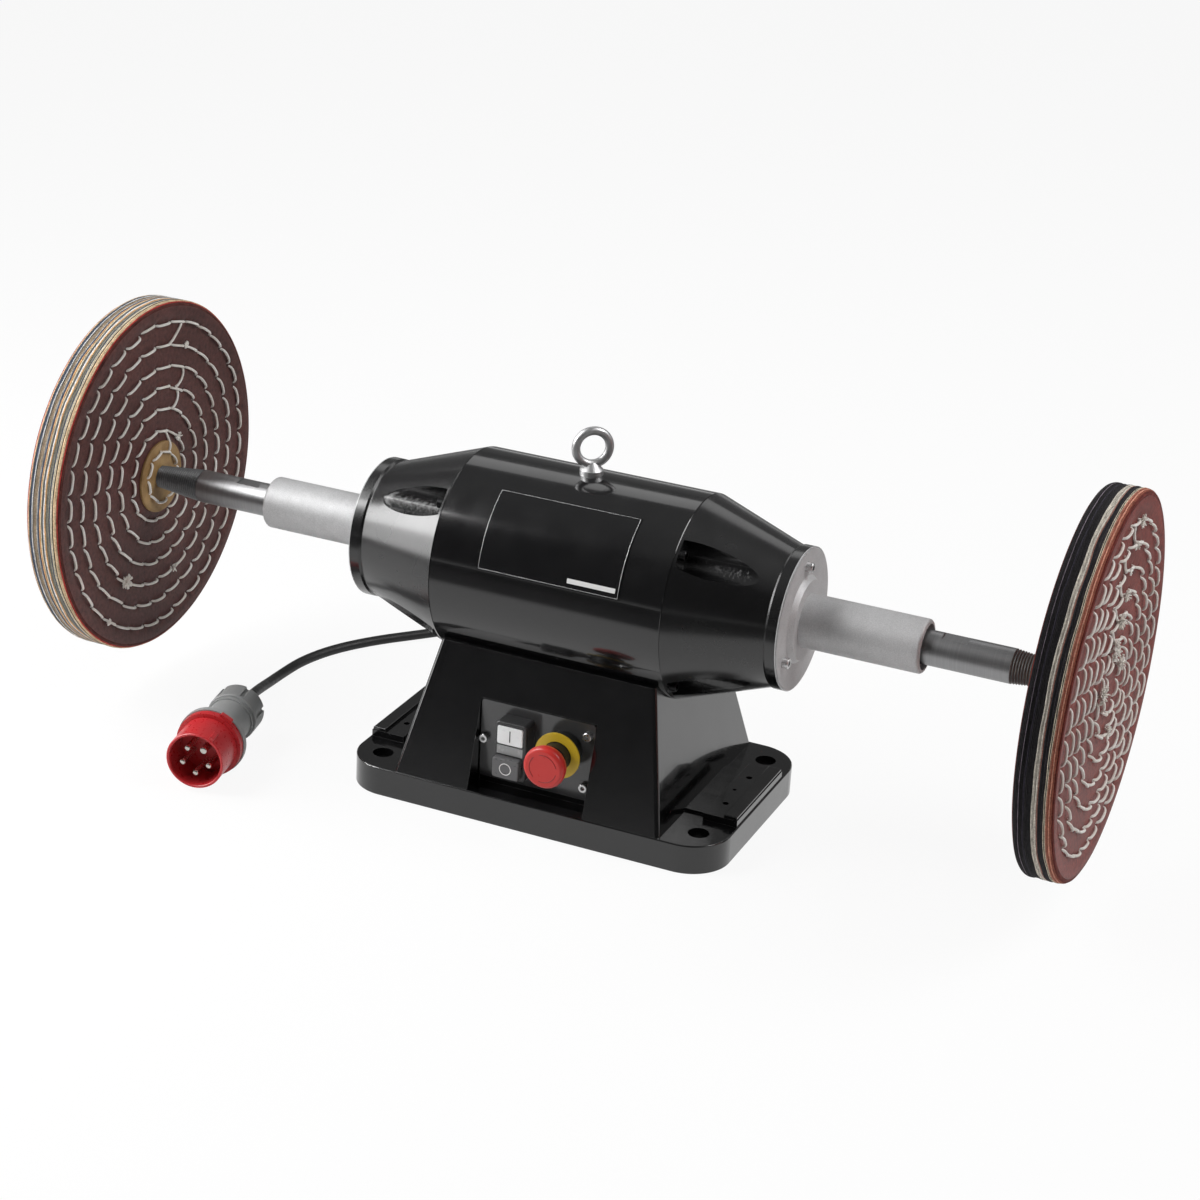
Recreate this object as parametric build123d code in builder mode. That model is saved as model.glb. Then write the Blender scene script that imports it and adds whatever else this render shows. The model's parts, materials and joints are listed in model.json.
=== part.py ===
from build123d import *
import os
from math import cos, pi, radians, sin, sqrt, tan

# Bench polishing machine, in millimetres.
# X runs along the spindle, -Y faces the operator, Z is up.
# The origin is on the bench, below the middle of the spindle.

# Sides of the machine, as the sign of X
sides = {"left": -1, "right": 1}

# Main sizes
spindle_height = 220
motor_radius = 96
motor_half_length = 114.5
motor_bore = 86
motor_wall_reach = 10
seam_chamfer = 0.7
wheel_radius = 175
wheel_inner_face = 463
wheel_width = 36

# Base casting: base plate, end pads and pedestal
base_length = 380
base_depth = 232
base_thickness = 28
base_corner_radius = 40
base_edge_radius = 1.2
bench_hole_radius = 10
bench_hole_spacing_x = 324
bench_hole_spacing_y = 170
pad_start = 155
pad_end = 188.6
pad_half_width = 58
pad_top = 34.5
pad_rim_start = 175
pad_rim_end = 187.8
pad_rim_half_width = 57
pad_rim_top = 37.5
pad_rim_edge_radius = 0.8
pad_strip_start = 130
pad_strip_half_width = 50
pad_strip_top = 30.5
pad_hole_x = 166
pad_hole_y = 30
pad_hole_radius = 3
pad_middle_hole_x = 163
pad_middle_hole_radius = 2
pad_hole_depth = 16
hole_spare_depth = 1
foot_width = 270
foot_depth = 229
pedestal_top = 156.5
pedestal_top_width = 216
pedestal_top_depth = 157.2
pedestal_corner_radius = 4
saddle_gap = 0.1
cavity_width = 208
cavity_depth = 160
cavity_top = 112
cavity_corner_radius = 10

# Recess for the controls in the front of the pedestal, with a window behind the plate
recess_back = -88.5
recess_half_width = 58.5
recess_top = 113.5
window_half_width = 44
window_bottom = 42
window_top = 106

# Bottom cover plate, sunk into the underside
cover_width = 225
cover_depth = 177
cover_corner_radius = 4
cover_gap = 0.5
cover_bottom = 0.4
cover_thickness = 2
cover_screw_x = 108.5
cover_screw_y = 84.5
cover_screw_radius = 2
cover_screw_head_radius = 4
cover_screw_length = 12

# Saddle bolts between pedestal and motor, and the wire hole beside them
saddle_bolt_x = 85
saddle_bolt_y = 30
saddle_bolt_radius = 4
saddle_bolt_head_radius = 6.5
saddle_bolt_head_height = 8
saddle_bolt_length = 25
saddle_bolt_socket_width = 6
wire_hole_x = -97
wire_hole_radius = 9
hole_clearance = 0.1

# End bells: a cone from the motor to the bearing, with four bolt pockets
bell_end = 211
bell_cone_end = 201.5
bell_cone_end_radius = 65.4
bell_collar_start = 203.5
bell_collar_radius = 66.8
bell_lip_end = 213.6
flange_seat_radius = 65.6
bell_spigot_start = 108.5
bell_spigot_radius = 85.9
bell_spigot_inner = 79.5
bell_step_start = 120
bell_hollow_start = 122
bell_hollow_radius = 85
bell_hollow_end = 199
bell_hollow_end_radius = 57.5
bearing_housing_radius = 45
bearing_housing_start = 184
pocket_radius = 15.5
pocket_axis_radius = 86
pocket_start = 117
pocket_end = 205
pocket_boss_radius = 20
pocket_boss_start = 113
pocket_angles = (45, 135, 225, 315)
bell_bolt_circle = 90
bell_bolt_radius = 3
bell_bolt_length = 14
cap_head_radius = 5
cap_head_height = 6
cap_socket_width = 5

# Ball bearings, 35 x 72 x 17
bearing_inner_side = 191
bearing_width = 17
bearing_bore_radius = 17.5
bearing_outer_radius = 36
race_land_inner = 22.5
race_land_outer = 31
ball_count = 9
ball_radius = 5.5
ball_pitch_radius = 26.75
ball_clearance = 0.3
cage_half_width = 7.2
cage_inner_radius = 25.4
cage_outer_radius = 28.1
bearing_fit = 0.02
preload_ring_thickness = 0.8
preload_ring_margin = 0.5
preload_gap = 1

# Spindle sleeves: flange, boss and tube in one piece
flange_end = 214.3
flange_radius = 65.5
sleeve_spigot_start = 208.2
sleeve_spigot_radius = 35.9
sleeve_spigot_bore = 29
sleeve_boss_radius = 41
sleeve_boss_end_radius = 37
sleeve_boss_end = 219
sleeve_radius = 25
sleeve_bore = 21
sleeve_end = 332
sleeve_end_edge_radius = 3
sleeve_screw_circle = 51
sleeve_screw_angles = (0, 120, 240)
sleeve_screw_length = 12

# Spindle shaft with tapered threads
shaft_radius = 16
rotor_seat_radius = 21
rotor_seat_half_length = 75
shaft_shoulder_radius = 20
thread_start = 412
thread_end = 487
thread_end_radius = 8.2
thread_pitch = 2.5
thread_depth = 1.1
flats_start = 346
flats_end = 370
flats_half_width = 14

# Motor inside
core_half_length = 60
stator_bore = 52
stator_fit = 0.05
slot_count = 24
slot_width = 5.2
slot_depth = 18
slot_bar_width = 4.6
slot_bar_depth = 14
slot_bar_inset = 1
slot_bar_overlap = 5
winding_inner_radius = 54
winding_outer_radius = 80
winding_start = 62
winding_end = 97
winding_edge_radius = 9
rotor_radius = 51.4
end_ring_inner_radius = 30
end_ring_outer_radius = 50
end_ring_end = 70
vane_end = 84
vane_count = 8
vane_thickness = 3
vane_radial_length = 16

# Cloth buffs: sewn plies on the tapered thread, and a leather washer on the inner face
ply_count = 12
ply_groove_depth = 1.4
ply_groove_half_width = 0.5
bore_gap = 0.2
washer_radius = 36
washer_thickness = 3

# Controls on the front
plate_half_width = 57.5
plate_bottom = 34.5
plate_top = 112.5
plate_thickness = 2.5
plate_corner_radius = 3
plate_screw_places = ((-53, 74.3), (50.8, 100.7), (49.5, 48.6))
plate_screw_radius = 2.5
plate_screw_length = 9
plate_screw_head_radius = 4.25
plate_screw_head_height = 5
plate_screw_socket_width = 4
switch_middle = (-19, 74.5)
switch_width = 32
switch_height = 57
switch_depth = 17.5
switch_edge_radius = 2
switch_corner_radius = 4
switch_opening = (28, 50)
button_pocket_depth = 11
button_gap = 0.5
button_corner_radius = 2.5
button_edge_radius = 1
button_travel = 4
button_spare_travel = 1
button_stem_radius = 2.8
button_stem_end = -92
start_button_place = (-19.5, 90)
start_button_size = (26, 18)
start_button_proud = 1
stop_button_place = (-20, 59.5)
stop_button_size = (26.5, 19.5)
stop_button_proud = 7.5
switch_window_place = (-19.5, 75.2)
switch_window_size = (26, 8.6)
switch_window_depth = 2
contact_block_back = -58

# Emergency stop; distances along its axis are measured forward from the spindle plane
estop_place = (28.5, 83)
estop_body_front = 108
estop_body_radius = 17
estop_neck_radius = 13.2
estop_neck_front = 119
estop_guide_radius = 10
estop_guide_front = 121.5
estop_thread_radius = 11
estop_thread_back = 80
estop_nut_radius = 15
estop_nut_thickness = 5
estop_ring_radius = 22.3
estop_ring_front = 109.6
estop_ring_bore = 14
estop_stem_radius = 6
estop_stem_gap = 0.3
estop_stem_back = 83
estop_stem_front = 135.3
estop_cap_back = 129.5
estop_cap_back_radius = 18.9
estop_cap_widest = 134
estop_cap_front = 140.5
estop_cap_radius = 20.2
estop_cap_hollow_radius = 14.5
estop_cap_hollow_front = 132
estop_cap_edge_radius = 4
estop_block_size = 26
estop_block_back = 50
estop_block_well = 10

# Lifting eye
eye_ring_radius = 16
eye_section_radius = 4
eye_height = 26
eye_turn = 40
eye_collar_radius = 11
eye_collar_height = 6
eye_collar_sink = 1.5
eye_neck_height = 6
eye_collar_chamfer = 1
eye_shank_radius = 5
eye_shank_length = 9

# Rating plate bent round the motor; angles run from the top towards the operator
rating_plate_ends = (-67, 73)
rating_plate_angles = (30, 77.5)
rating_plate_gap = 0.03
rating_plate_thickness = 0.8

# Terminal block on the rear wall of the cavity
terminal_half_length = 32
terminal_bottom = 78
terminal_top = 98
terminal_depth = 20
terminal_spacing = 12
terminal_count = 5
terminal_well_radius = 3.5
terminal_well_depth = 9

# Supply cord: a gland at the rear, a free run, a coil, and a free run to the plug
cord_diameter = 10
cord_radius = cord_diameter / 2
gland_height = 46
boss_face = 114.5
boss_radius = 17
boss_length = 29
gland_thread_radius = 9.9
gland_hole_radius = 10
gland_thread_back = 76
gland_hex_width = 27
gland_hex_length = 8
gland_dome_radius = 13
gland_dome_length = 3
gland_tip_radius = 7
gland_tip = 141
coil_middle = (-110, 266)
coil_start_radius = 60.5
coil_pitch = 10.8
coil_layer_step = 10.8
coil_base = 6.5
coil_inward_turns = 1.5
coil_reverse_turns = 0.5
coil_outward_turns = 1.25
coil_steps_per_turn = 4
tie_angle = 135
tie_gap = 0.4
tie_thickness = 1
tie_width = 9
tie_corner_radius = 3

# Plug, lying on the bench; distances along its axis run back from its front rim
plug_front = (-300.1, -199.1)
plug_turn = -10.8
plug_axis_height = 33.2
shroud_radius = 28
shroud_bore = 25.3
shroud_rim_edge = 0.7
shroud_floor = 33
collar_start = 36.5
collar_radius = 32
plug_flange_start = 43.5
plug_flange_end = 50.5
plug_flange_radius = 33.2
plug_flange_edge = 1
plug_taper_radius = 29
plug_taper_end = 66
plug_neck_radius = 21.5
plug_shoulder_start = 93
plug_shoulder_radius = 22.8
plug_nut_start = 98
plug_nut_straight_end = 122
plug_nut_end = 132
plug_nut_radius = 24.7
plug_nut_edge = 0.8
plug_nut_end_radius = 14
plug_nut_bulge = 0.42
plug_nut_band = 3.5
plug_nut_grooves = 6
plug_nut_groove_angle = 22
plug_nut_groove_radius = 2.2
plug_pin_circle = 13.5
plug_pin_radius = 2.8
plug_earth_pin_radius = 3.6
plug_pin_tip = 2
plug_pin_rounding = 1.4
plug_earth_pin_angle = 36
plug_pin_count = 5
plug_key_angle = 33
plug_key_start = 1
plug_key_end = 15
plug_key_width = 5
plug_key_height = 2.6
plug_lug_angle = 30
plug_lug_start = 38
plug_lug_width = 13
plug_lug_height = 2.6
plug_rib_rounding = 1.2

os.makedirs("parts", exist_ok=True)


# Planes whose X direction is an axis of turning and whose Y direction is a radius

def spindle_plane(angle=0):
    """Plane along the spindle, at an angle from the top towards the operator."""
    turn = radians(angle)
    return Plane(origin=(0, 0, spindle_height), x_dir=(1, 0, 0), z_dir=(0, -cos(turn), -sin(turn)))


def front_plane(y):
    """Upright plane that faces the operator, with X to the right and Z up."""
    return Plane(origin=(0, y, 0), x_dir=(1, 0, 0), z_dir=(0, -1, 0))


def cross_plane(x):
    """Plane square to the spindle, centred on it."""
    return Plane(origin=(x, 0, spindle_height), x_dir=(0, 1, 0), z_dir=(1, 0, 0))


estop_plane = Plane(origin=(estop_place[0], 0, estop_place[1]), x_dir=(0, -1, 0), z_dir=(-1, 0, 0))
plug_sin = sin(radians(plug_turn))
plug_cos = cos(radians(plug_turn))
plug_plane = Plane(
    origin=(*plug_front, plug_axis_height), x_dir=(plug_sin, plug_cos, 0), z_dir=(plug_cos, -plug_sin, 0)
)
gland_x = coil_middle[0] + coil_start_radius
gland_plane = Plane(origin=(gland_x, 0, gland_height), x_dir=(0, 1, 0), z_dir=(1, 0, 0))


# Shapes that repeat

def block(x_span, y_span, z_span, mode=Mode.ADD):
    """Box between two values along X, Y and Z."""
    spans = (x_span, y_span, z_span)
    with Locations(tuple(sum(span) / 2 for span in spans)):
        Box(*(abs(span[1] - span[0]) for span in spans), mode=mode)


def turned(plane, points, mode=Mode.ADD, arc=360):
    """Solid turned about the plane's X axis, from (distance along, radius) points."""
    with BuildSketch(plane) as profile:
        with BuildLine():
            Polyline(*points, close=True)
        make_face()
    revolve(profile.sketch, axis=Axis(plane.origin, plane.x_dir), revolution_arc=arc, mode=mode)


def turned_groove(plane, along, radius, section_radius):
    """Round groove turned about the plane's X axis."""
    with BuildSketch(plane) as section:
        with Locations((along, radius)):
            Circle(section_radius)
    revolve(section.sketch, axis=Axis(plane.origin, plane.x_dir), mode=Mode.SUBTRACT)


def around(radius, angle):
    """(y, z) at a radius from the spindle, at an angle from the top towards the operator."""
    return (-radius * sin(radians(angle)), spindle_height + radius * cos(radians(angle)))


def rod_along_x(x_span, place, radius, mode=Mode.ADD):
    """Cylinder along X, centred on a (y, z) place."""
    low, high = sorted(x_span)
    with Locations(Location((low, *place), (0, 90, 0))):
        Cylinder(radius, high - low, align=(Align.CENTER, Align.CENTER, Align.MIN), mode=mode)


def rod_along_y(y_span, place, radius, mode=Mode.ADD):
    """Cylinder along Y, centred on an (x, z) place."""
    low, high = sorted(y_span)
    with Locations(Location((place[0], high, place[1]), (90, 0, 0))):
        Cylinder(radius, high - low, align=(Align.CENTER, Align.CENTER, Align.MIN), mode=mode)


def rod_along_z(z_span, places, radius, mode=Mode.ADD):
    """Cylinders along Z, centred on (x, y) places."""
    low, high = sorted(z_span)
    with Locations(*((x, y, low) for x, y in places)):
        Cylinder(radius, high - low, align=(Align.CENTER, Align.CENTER, Align.MIN), mode=mode)


def mirrored(points, side):
    """Profile points on one side of the machine."""
    return [(side * along, radius) for along, radius in points]


def socket_screw(radius, length, head_radius, head_height, socket_width):
    """Socket cap screw along Z, with its head standing on the XY plane."""
    socket_depth = head_height * 0.6
    head_chamfer = head_height / 12
    with BuildPart() as screw:
        Cylinder(head_radius, head_height, align=(Align.CENTER, Align.CENTER, Align.MIN))
        chamfer(screw.edges().group_by(Axis.Z)[-1], head_chamfer)
        with BuildSketch(Plane.XY.offset(head_height)):
            RegularPolygon(socket_width / 2, 6, major_radius=False)
        extrude(amount=-socket_depth, mode=Mode.SUBTRACT)
        Cylinder(radius, length, align=(Align.CENTER, Align.CENTER, Align.MAX))
    return screw.part


def save(part, name):
    """Label a finished piece and write it under its name."""
    part.label = name
    export_step(part, f"parts/{name}.step")


# Base casting

saddle_bolt_places = [
    (x, y) for x in (-saddle_bolt_x, saddle_bolt_x) for y in (-saddle_bolt_y, saddle_bolt_y)
]
cover_screw_places = [
    (x, y) for x in (-cover_screw_x, 0, cover_screw_x) for y in (-cover_screw_y, cover_screw_y)
]

with BuildPart() as base_casting:
    with BuildSketch():
        RectangleRounded(base_length, base_depth, base_corner_radius)
    extrude(amount=base_thickness)
    fillet(base_casting.edges().group_by(Axis.Z)[-1], base_edge_radius)
    for side in sides.values():
        for start, end, half_width, top in (
            (pad_strip_start, pad_start, pad_strip_half_width, pad_strip_top),
            (pad_start, pad_end, pad_half_width, pad_top),
            (pad_rim_start, pad_rim_end, pad_rim_half_width, pad_rim_top),
        ):
            block((side * start, side * end), (-half_width, half_width), (base_thickness / 2, top))
    rim_tops = base_casting.edges().filter_by(lambda edge: edge.bounding_box().min.Z > pad_rim_top - 0.1)
    fillet(rim_tops, pad_rim_edge_radius)
    # Pedestal with sloping sides
    with BuildSketch(Plane.XY.offset(base_thickness)):
        RectangleRounded(foot_width, foot_depth, pedestal_corner_radius)
    with BuildSketch(Plane.XY.offset(pedestal_top)):
        RectangleRounded(pedestal_top_width, pedestal_top_depth, pedestal_corner_radius)
    loft()
    # Boss for the cable gland
    rod_along_y((boss_face - boss_length, boss_face), (gland_x, gland_height), boss_radius)
    # Saddle for the motor
    rod_along_x((-foot_width, foot_width), (0, spindle_height), motor_radius + saddle_gap, Mode.SUBTRACT)
    # Hollow inside, sunk edge for the bottom cover
    with BuildSketch():
        RectangleRounded(cavity_width, cavity_depth, cavity_corner_radius)
    extrude(amount=cavity_top, mode=Mode.SUBTRACT)
    with BuildSketch():
        RectangleRounded(cover_width + 2 * cover_gap, cover_depth + 2 * cover_gap, cover_corner_radius)
    extrude(amount=cover_bottom + cover_thickness, mode=Mode.SUBTRACT)
    # Recess and window for the controls
    recess_span = (-recess_half_width, recess_half_width)
    block(recess_span, (-base_depth, recess_back), (base_thickness, recess_top), Mode.SUBTRACT)
    window_span = (-window_half_width, window_half_width)
    block(window_span, (recess_back, -cavity_depth / 2), (window_bottom, window_top), Mode.SUBTRACT)
    # Holes
    with GridLocations(bench_hole_spacing_x, bench_hole_spacing_y, 2, 2):
        Cylinder(bench_hole_radius, 3 * base_thickness, mode=Mode.SUBTRACT)
    pad_hole_span = (pad_top - pad_hole_depth, pad_top)
    pad_holes = [(side * pad_hole_x, y) for side in sides.values() for y in (-pad_hole_y, pad_hole_y)]
    rod_along_z(pad_hole_span, pad_holes, pad_hole_radius, Mode.SUBTRACT)
    pad_middle_holes = [(side * pad_middle_hole_x, 0) for side in sides.values()]
    rod_along_z(pad_hole_span, pad_middle_holes, pad_middle_hole_radius, Mode.SUBTRACT)
    roof_span = (cavity_top, pedestal_top)
    rod_along_z(roof_span, saddle_bolt_places, saddle_bolt_radius + hole_clearance, Mode.SUBTRACT)
    rod_along_z(roof_span, [(wire_hole_x, 0)], wire_hole_radius, Mode.SUBTRACT)
    cover_hole_span = (0, cover_bottom + cover_screw_length + hole_spare_depth)
    rod_along_z(cover_hole_span, cover_screw_places, cover_screw_radius + hole_clearance, Mode.SUBTRACT)
    rod_along_y((cavity_depth / 2, boss_face), (gland_x, gland_height), gland_hole_radius, Mode.SUBTRACT)
    for place in plate_screw_places:
        hole_back = recess_back + plate_screw_length - plate_thickness + hole_spare_depth
        rod_along_y((recess_back, hole_back), place, plate_screw_radius + hole_clearance, Mode.SUBTRACT)
save(base_casting.part, "base_casting")

with BuildPart() as bottom_cover_plate:
    with BuildSketch(Plane.XY.offset(cover_bottom)):
        RectangleRounded(cover_width, cover_depth, cover_corner_radius)
    extrude(amount=cover_thickness)
    with Locations(*((x, y, cover_bottom) for x, y in cover_screw_places)):
        Cone(
            cover_screw_head_radius + hole_clearance,
            cover_screw_radius + hole_clearance,
            cover_thickness,
            align=(Align.CENTER, Align.CENTER, Align.MIN),
            mode=Mode.SUBTRACT,
        )
save(bottom_cover_plate.part, "bottom_cover_plate")

with BuildPart() as bottom_cover_screws:
    with Locations(*((x, y, cover_bottom) for x, y in cover_screw_places)):
        Cone(
            cover_screw_head_radius,
            cover_screw_radius,
            cover_thickness,
            align=(Align.CENTER, Align.CENTER, Align.MIN),
        )
        Cylinder(cover_screw_radius, cover_screw_length, align=(Align.CENTER, Align.CENTER, Align.MIN))
save(bottom_cover_screws.part, "bottom_cover_screws")

saddle_bolt = socket_screw(
    saddle_bolt_radius,
    saddle_bolt_length,
    saddle_bolt_head_radius,
    saddle_bolt_head_height,
    saddle_bolt_socket_width,
)
with BuildPart() as saddle_bolts:
    with Locations(*(Location((x, y, cavity_top), (180, 0, 0)) for x, y in saddle_bolt_places)):
        add(saddle_bolt)
save(saddle_bolts.part, "saddle_bolts")

# Motor housing and what is inside it

with BuildPart() as motor_housing:
    turned(
        spindle_plane(),
        [
            (-motor_half_length, motor_bore),
            (-motor_half_length, motor_radius - seam_chamfer),
            (seam_chamfer - motor_half_length, motor_radius),
            (motor_half_length - seam_chamfer, motor_radius),
            (motor_half_length, motor_radius - seam_chamfer),
            (motor_half_length, motor_bore),
        ],
    )
    lower_wall = (spindle_height - motor_radius, spindle_height - motor_bore + motor_wall_reach)
    rod_along_z(lower_wall, saddle_bolt_places, saddle_bolt_radius + hole_clearance, Mode.SUBTRACT)
    rod_along_z(lower_wall, [(wire_hole_x, 0)], wire_hole_radius, Mode.SUBTRACT)
    upper_wall = (spindle_height + motor_bore - motor_wall_reach, spindle_height + motor_radius)
    rod_along_z(upper_wall, [(0, 0)], eye_shank_radius + hole_clearance, Mode.SUBTRACT)
    for side in sides.values():
        for angle in pocket_angles:
            bolt_hole = (side * (motor_half_length - bell_bolt_length), side * motor_half_length)
            bolt_place = around(bell_bolt_circle, angle)
            rod_along_x(bolt_hole, bolt_place, bell_bolt_radius + hole_clearance, Mode.SUBTRACT)
save(motor_housing.part, "motor_housing")

with BuildPart() as stator_core:
    with BuildSketch(cross_plane(-core_half_length)):
        Circle(motor_bore - stator_fit)
        Circle(stator_bore, mode=Mode.SUBTRACT)
        with PolarLocations(stator_bore, slot_count):
            Rectangle(2 * slot_depth, slot_width, mode=Mode.SUBTRACT)
    extrude(amount=2 * core_half_length)
save(stator_core.part, "stator_core")

with BuildPart() as stator_windings:
    for side in sides.values():
        turned(
            spindle_plane(),
            mirrored(
                [
                    (winding_start, winding_inner_radius),
                    (winding_start, winding_outer_radius),
                    (winding_end, winding_outer_radius),
                    (winding_end, winding_inner_radius),
                ],
                side,
            ),
        )
    outer_rims = stator_windings.edges().filter_by(lambda edge: abs(edge.center().X) > winding_end - 1)
    fillet(outer_rims.filter_by(GeomType.CIRCLE), winding_edge_radius)
    bar_end = winding_start + slot_bar_overlap
    with BuildSketch(cross_plane(-bar_end)):
        with PolarLocations(winding_inner_radius + slot_bar_inset + slot_bar_depth / 2, slot_count):
            Rectangle(slot_bar_depth, slot_bar_width)
    extrude(amount=2 * bar_end)
save(stator_windings.part, "stator_windings")

with BuildPart() as rotor_core:
    with BuildSketch(cross_plane(-core_half_length)):
        Circle(rotor_radius)
        Circle(rotor_seat_radius + bearing_fit, mode=Mode.SUBTRACT)
    extrude(amount=2 * core_half_length)
save(rotor_core.part, "rotor_core")

with BuildPart() as rotor_end_rings:
    for side in sides.values():
        turned(
            spindle_plane(),
            mirrored(
                [
                    (core_half_length, end_ring_inner_radius),
                    (core_half_length, end_ring_outer_radius),
                    (end_ring_end, end_ring_outer_radius),
                    (end_ring_end, end_ring_inner_radius),
                ],
                side,
            ),
        )
        with BuildSketch(cross_plane(side * end_ring_end)):
            with PolarLocations((end_ring_inner_radius + end_ring_outer_radius) / 2, vane_count):
                Rectangle(vane_radial_length, vane_thickness)
        extrude(amount=side * (vane_end - end_ring_end))
save(rotor_end_rings.part, "rotor_end_rings")

# Spindle shaft


def taper_radius(along):
    """Radius over the crests of the tapered thread."""
    share = (along - thread_start) / (thread_end - thread_start)
    return shaft_radius + share * (thread_end_radius - shaft_radius)


bearing_outer_side = bearing_inner_side + bearing_width
shaft_half = [
    (rotor_seat_half_length, rotor_seat_radius),
    (rotor_seat_half_length, shaft_shoulder_radius),
    (bearing_inner_side, shaft_shoulder_radius),
    (bearing_inner_side, bearing_bore_radius),
    (bearing_outer_side, bearing_bore_radius),
    (bearing_outer_side, shaft_radius),
    (thread_start, shaft_radius),
]
thread_turns = int((thread_end - thread_start) / thread_pitch)
for thread_turn in range(thread_turns):
    root_along = thread_start + (thread_turn + 0.5) * thread_pitch
    crest_along = root_along + thread_pitch / 2
    shaft_half.append((root_along, taper_radius(root_along) - thread_depth))
    shaft_half.append((crest_along, taper_radius(crest_along)))
shaft_half.append((thread_end, 0))

with BuildPart() as spindle_shaft:
    turned(spindle_plane(), mirrored(reversed(shaft_half), -1) + shaft_half)
    for side in sides.values():
        flats_span = (side * flats_start, side * flats_end)
        for up in (-1, 1):
            flat_span = (spindle_height + up * flats_half_width, spindle_height + up * 2 * shaft_radius)
            block(flats_span, (-shaft_radius, shaft_radius), flat_span, Mode.SUBTRACT)
save(spindle_shaft.part, "spindle_shaft")

# Pieces that are alike on both sides

bell_bolt = socket_screw(
    bell_bolt_radius, bell_bolt_length, cap_head_radius, cap_head_height, cap_socket_width
)
sleeve_screw = socket_screw(
    bell_bolt_radius, sleeve_screw_length, cap_head_radius, cap_head_height, cap_socket_width
)


def along_side(side, along, circle, angle):
    """Place of a screw beside the spindle, with its head pointing outwards."""
    return Location((side * along, *around(circle, angle)), (0, side * 90, 0))


for side_name, side in sides.items():
    bearing_middle = side * (bearing_inner_side + bearing_width / 2)
    # The left bearing is pushed outwards by a preload ring, so its seat is that much deeper
    seat_side = bearing_inner_side - (preload_gap if side < 0 else 0)

    with BuildPart() as bell_hollow:
        turned(
            spindle_plane(),
            mirrored(
                [
                    (bell_spigot_start, 0),
                    (bell_spigot_start, bell_spigot_inner),
                    (bell_step_start, bell_spigot_inner),
                    (bell_hollow_start, bell_hollow_radius),
                    (bell_hollow_end, bell_hollow_end_radius),
                    (bell_hollow_end, bearing_housing_radius),
                    (bearing_housing_start, bearing_housing_radius),
                    (bearing_housing_start, 0),
                ],
                side,
            ),
        )
        for angle in pocket_angles:
            boss_span = (side * pocket_boss_start, side * bell_end)
            rod_along_x(boss_span, around(pocket_axis_radius, angle), pocket_boss_radius, Mode.SUBTRACT)

    with BuildPart() as end_bell:
        turned(
            spindle_plane(),
            mirrored(
                [
                    (bell_spigot_start, 0),
                    (bell_spigot_start, bell_spigot_radius),
                    (motor_half_length, bell_spigot_radius),
                    (motor_half_length, motor_radius - seam_chamfer),
                    (motor_half_length + seam_chamfer / 2, motor_radius - seam_chamfer / 3),
                    (bell_cone_end, bell_cone_end_radius),
                    (bell_collar_start, bell_collar_radius),
                    (bell_lip_end, bell_collar_radius),
                    (bell_lip_end, flange_seat_radius),
                    (bell_end, flange_seat_radius),
                    (bell_end, 0),
                ],
                side,
            ),
        )
        add(bell_hollow.part, mode=Mode.SUBTRACT)
        turned(
            spindle_plane(),
            mirrored(
                [
                    (bearing_housing_start, 0),
                    (bearing_housing_start, race_land_outer),
                    (seat_side, race_land_outer),
                    (seat_side, bearing_outer_radius + bearing_fit),
                    (bell_end, bearing_outer_radius + bearing_fit),
                    (bell_end, 0),
                ],
                side,
            ),
            Mode.SUBTRACT,
        )
        for angle in pocket_angles:
            pocket_span = (side * pocket_start, side * pocket_end)
            rod_along_x(pocket_span, around(pocket_axis_radius, angle), pocket_radius, Mode.SUBTRACT)
            bolt_span = (side * bell_spigot_start, side * pocket_start)
            bolt_place = around(bell_bolt_circle, angle)
            rod_along_x(bolt_span, bolt_place, bell_bolt_radius + hole_clearance, Mode.SUBTRACT)
        for angle in sleeve_screw_angles:
            hole_span = (side * (flange_end - sleeve_screw_length - hole_spare_depth), side * bell_end)
            screw_place = around(sleeve_screw_circle, angle)
            rod_along_x(hole_span, screw_place, bell_bolt_radius + hole_clearance, Mode.SUBTRACT)
    save(end_bell.part, f"{side_name}_end_bell")

    with BuildPart() as bell_bolts:
        with Locations(*(along_side(side, pocket_start, bell_bolt_circle, angle) for angle in pocket_angles)):
            add(bell_bolt)
    save(bell_bolts.part, f"{side_name}_bell_bolts")

    with BuildPart() as spindle_sleeve:
        turned(
            spindle_plane(),
            mirrored(
                [
                    (sleeve_spigot_start, sleeve_spigot_bore),
                    (sleeve_spigot_start, sleeve_spigot_radius),
                    (bell_end, sleeve_spigot_radius),
                    (bell_end, flange_radius),
                    (flange_end, flange_radius),
                    (flange_end, sleeve_boss_radius),
                    (sleeve_boss_end, sleeve_boss_end_radius),
                    (sleeve_boss_end, sleeve_radius),
                    (sleeve_end, sleeve_radius),
                    (sleeve_end, sleeve_bore),
                    (flange_end, sleeve_bore),
                    (flange_end, sleeve_spigot_bore),
                ],
                side,
            ),
        )
        end_edges = spindle_sleeve.edges().filter_by(
            lambda edge: abs(edge.center().X) > sleeve_end - 0.1 and edge.radius > sleeve_bore + 1
        )
        fillet(end_edges, sleeve_end_edge_radius)
        for angle in sleeve_screw_angles:
            screw_place = around(sleeve_screw_circle, angle)
            hole_span = (side * bell_end, side * flange_end)
            rod_along_x(hole_span, screw_place, bell_bolt_radius + hole_clearance, Mode.SUBTRACT)
    save(spindle_sleeve.part, f"{side_name}_spindle_sleeve")

    with BuildPart() as sleeve_screws:
        with Locations(*(along_side(side, flange_end, sleeve_screw_circle, a) for a in sleeve_screw_angles)):
            add(sleeve_screw)
    save(sleeve_screws.part, f"{side_name}_sleeve_screws")

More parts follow.
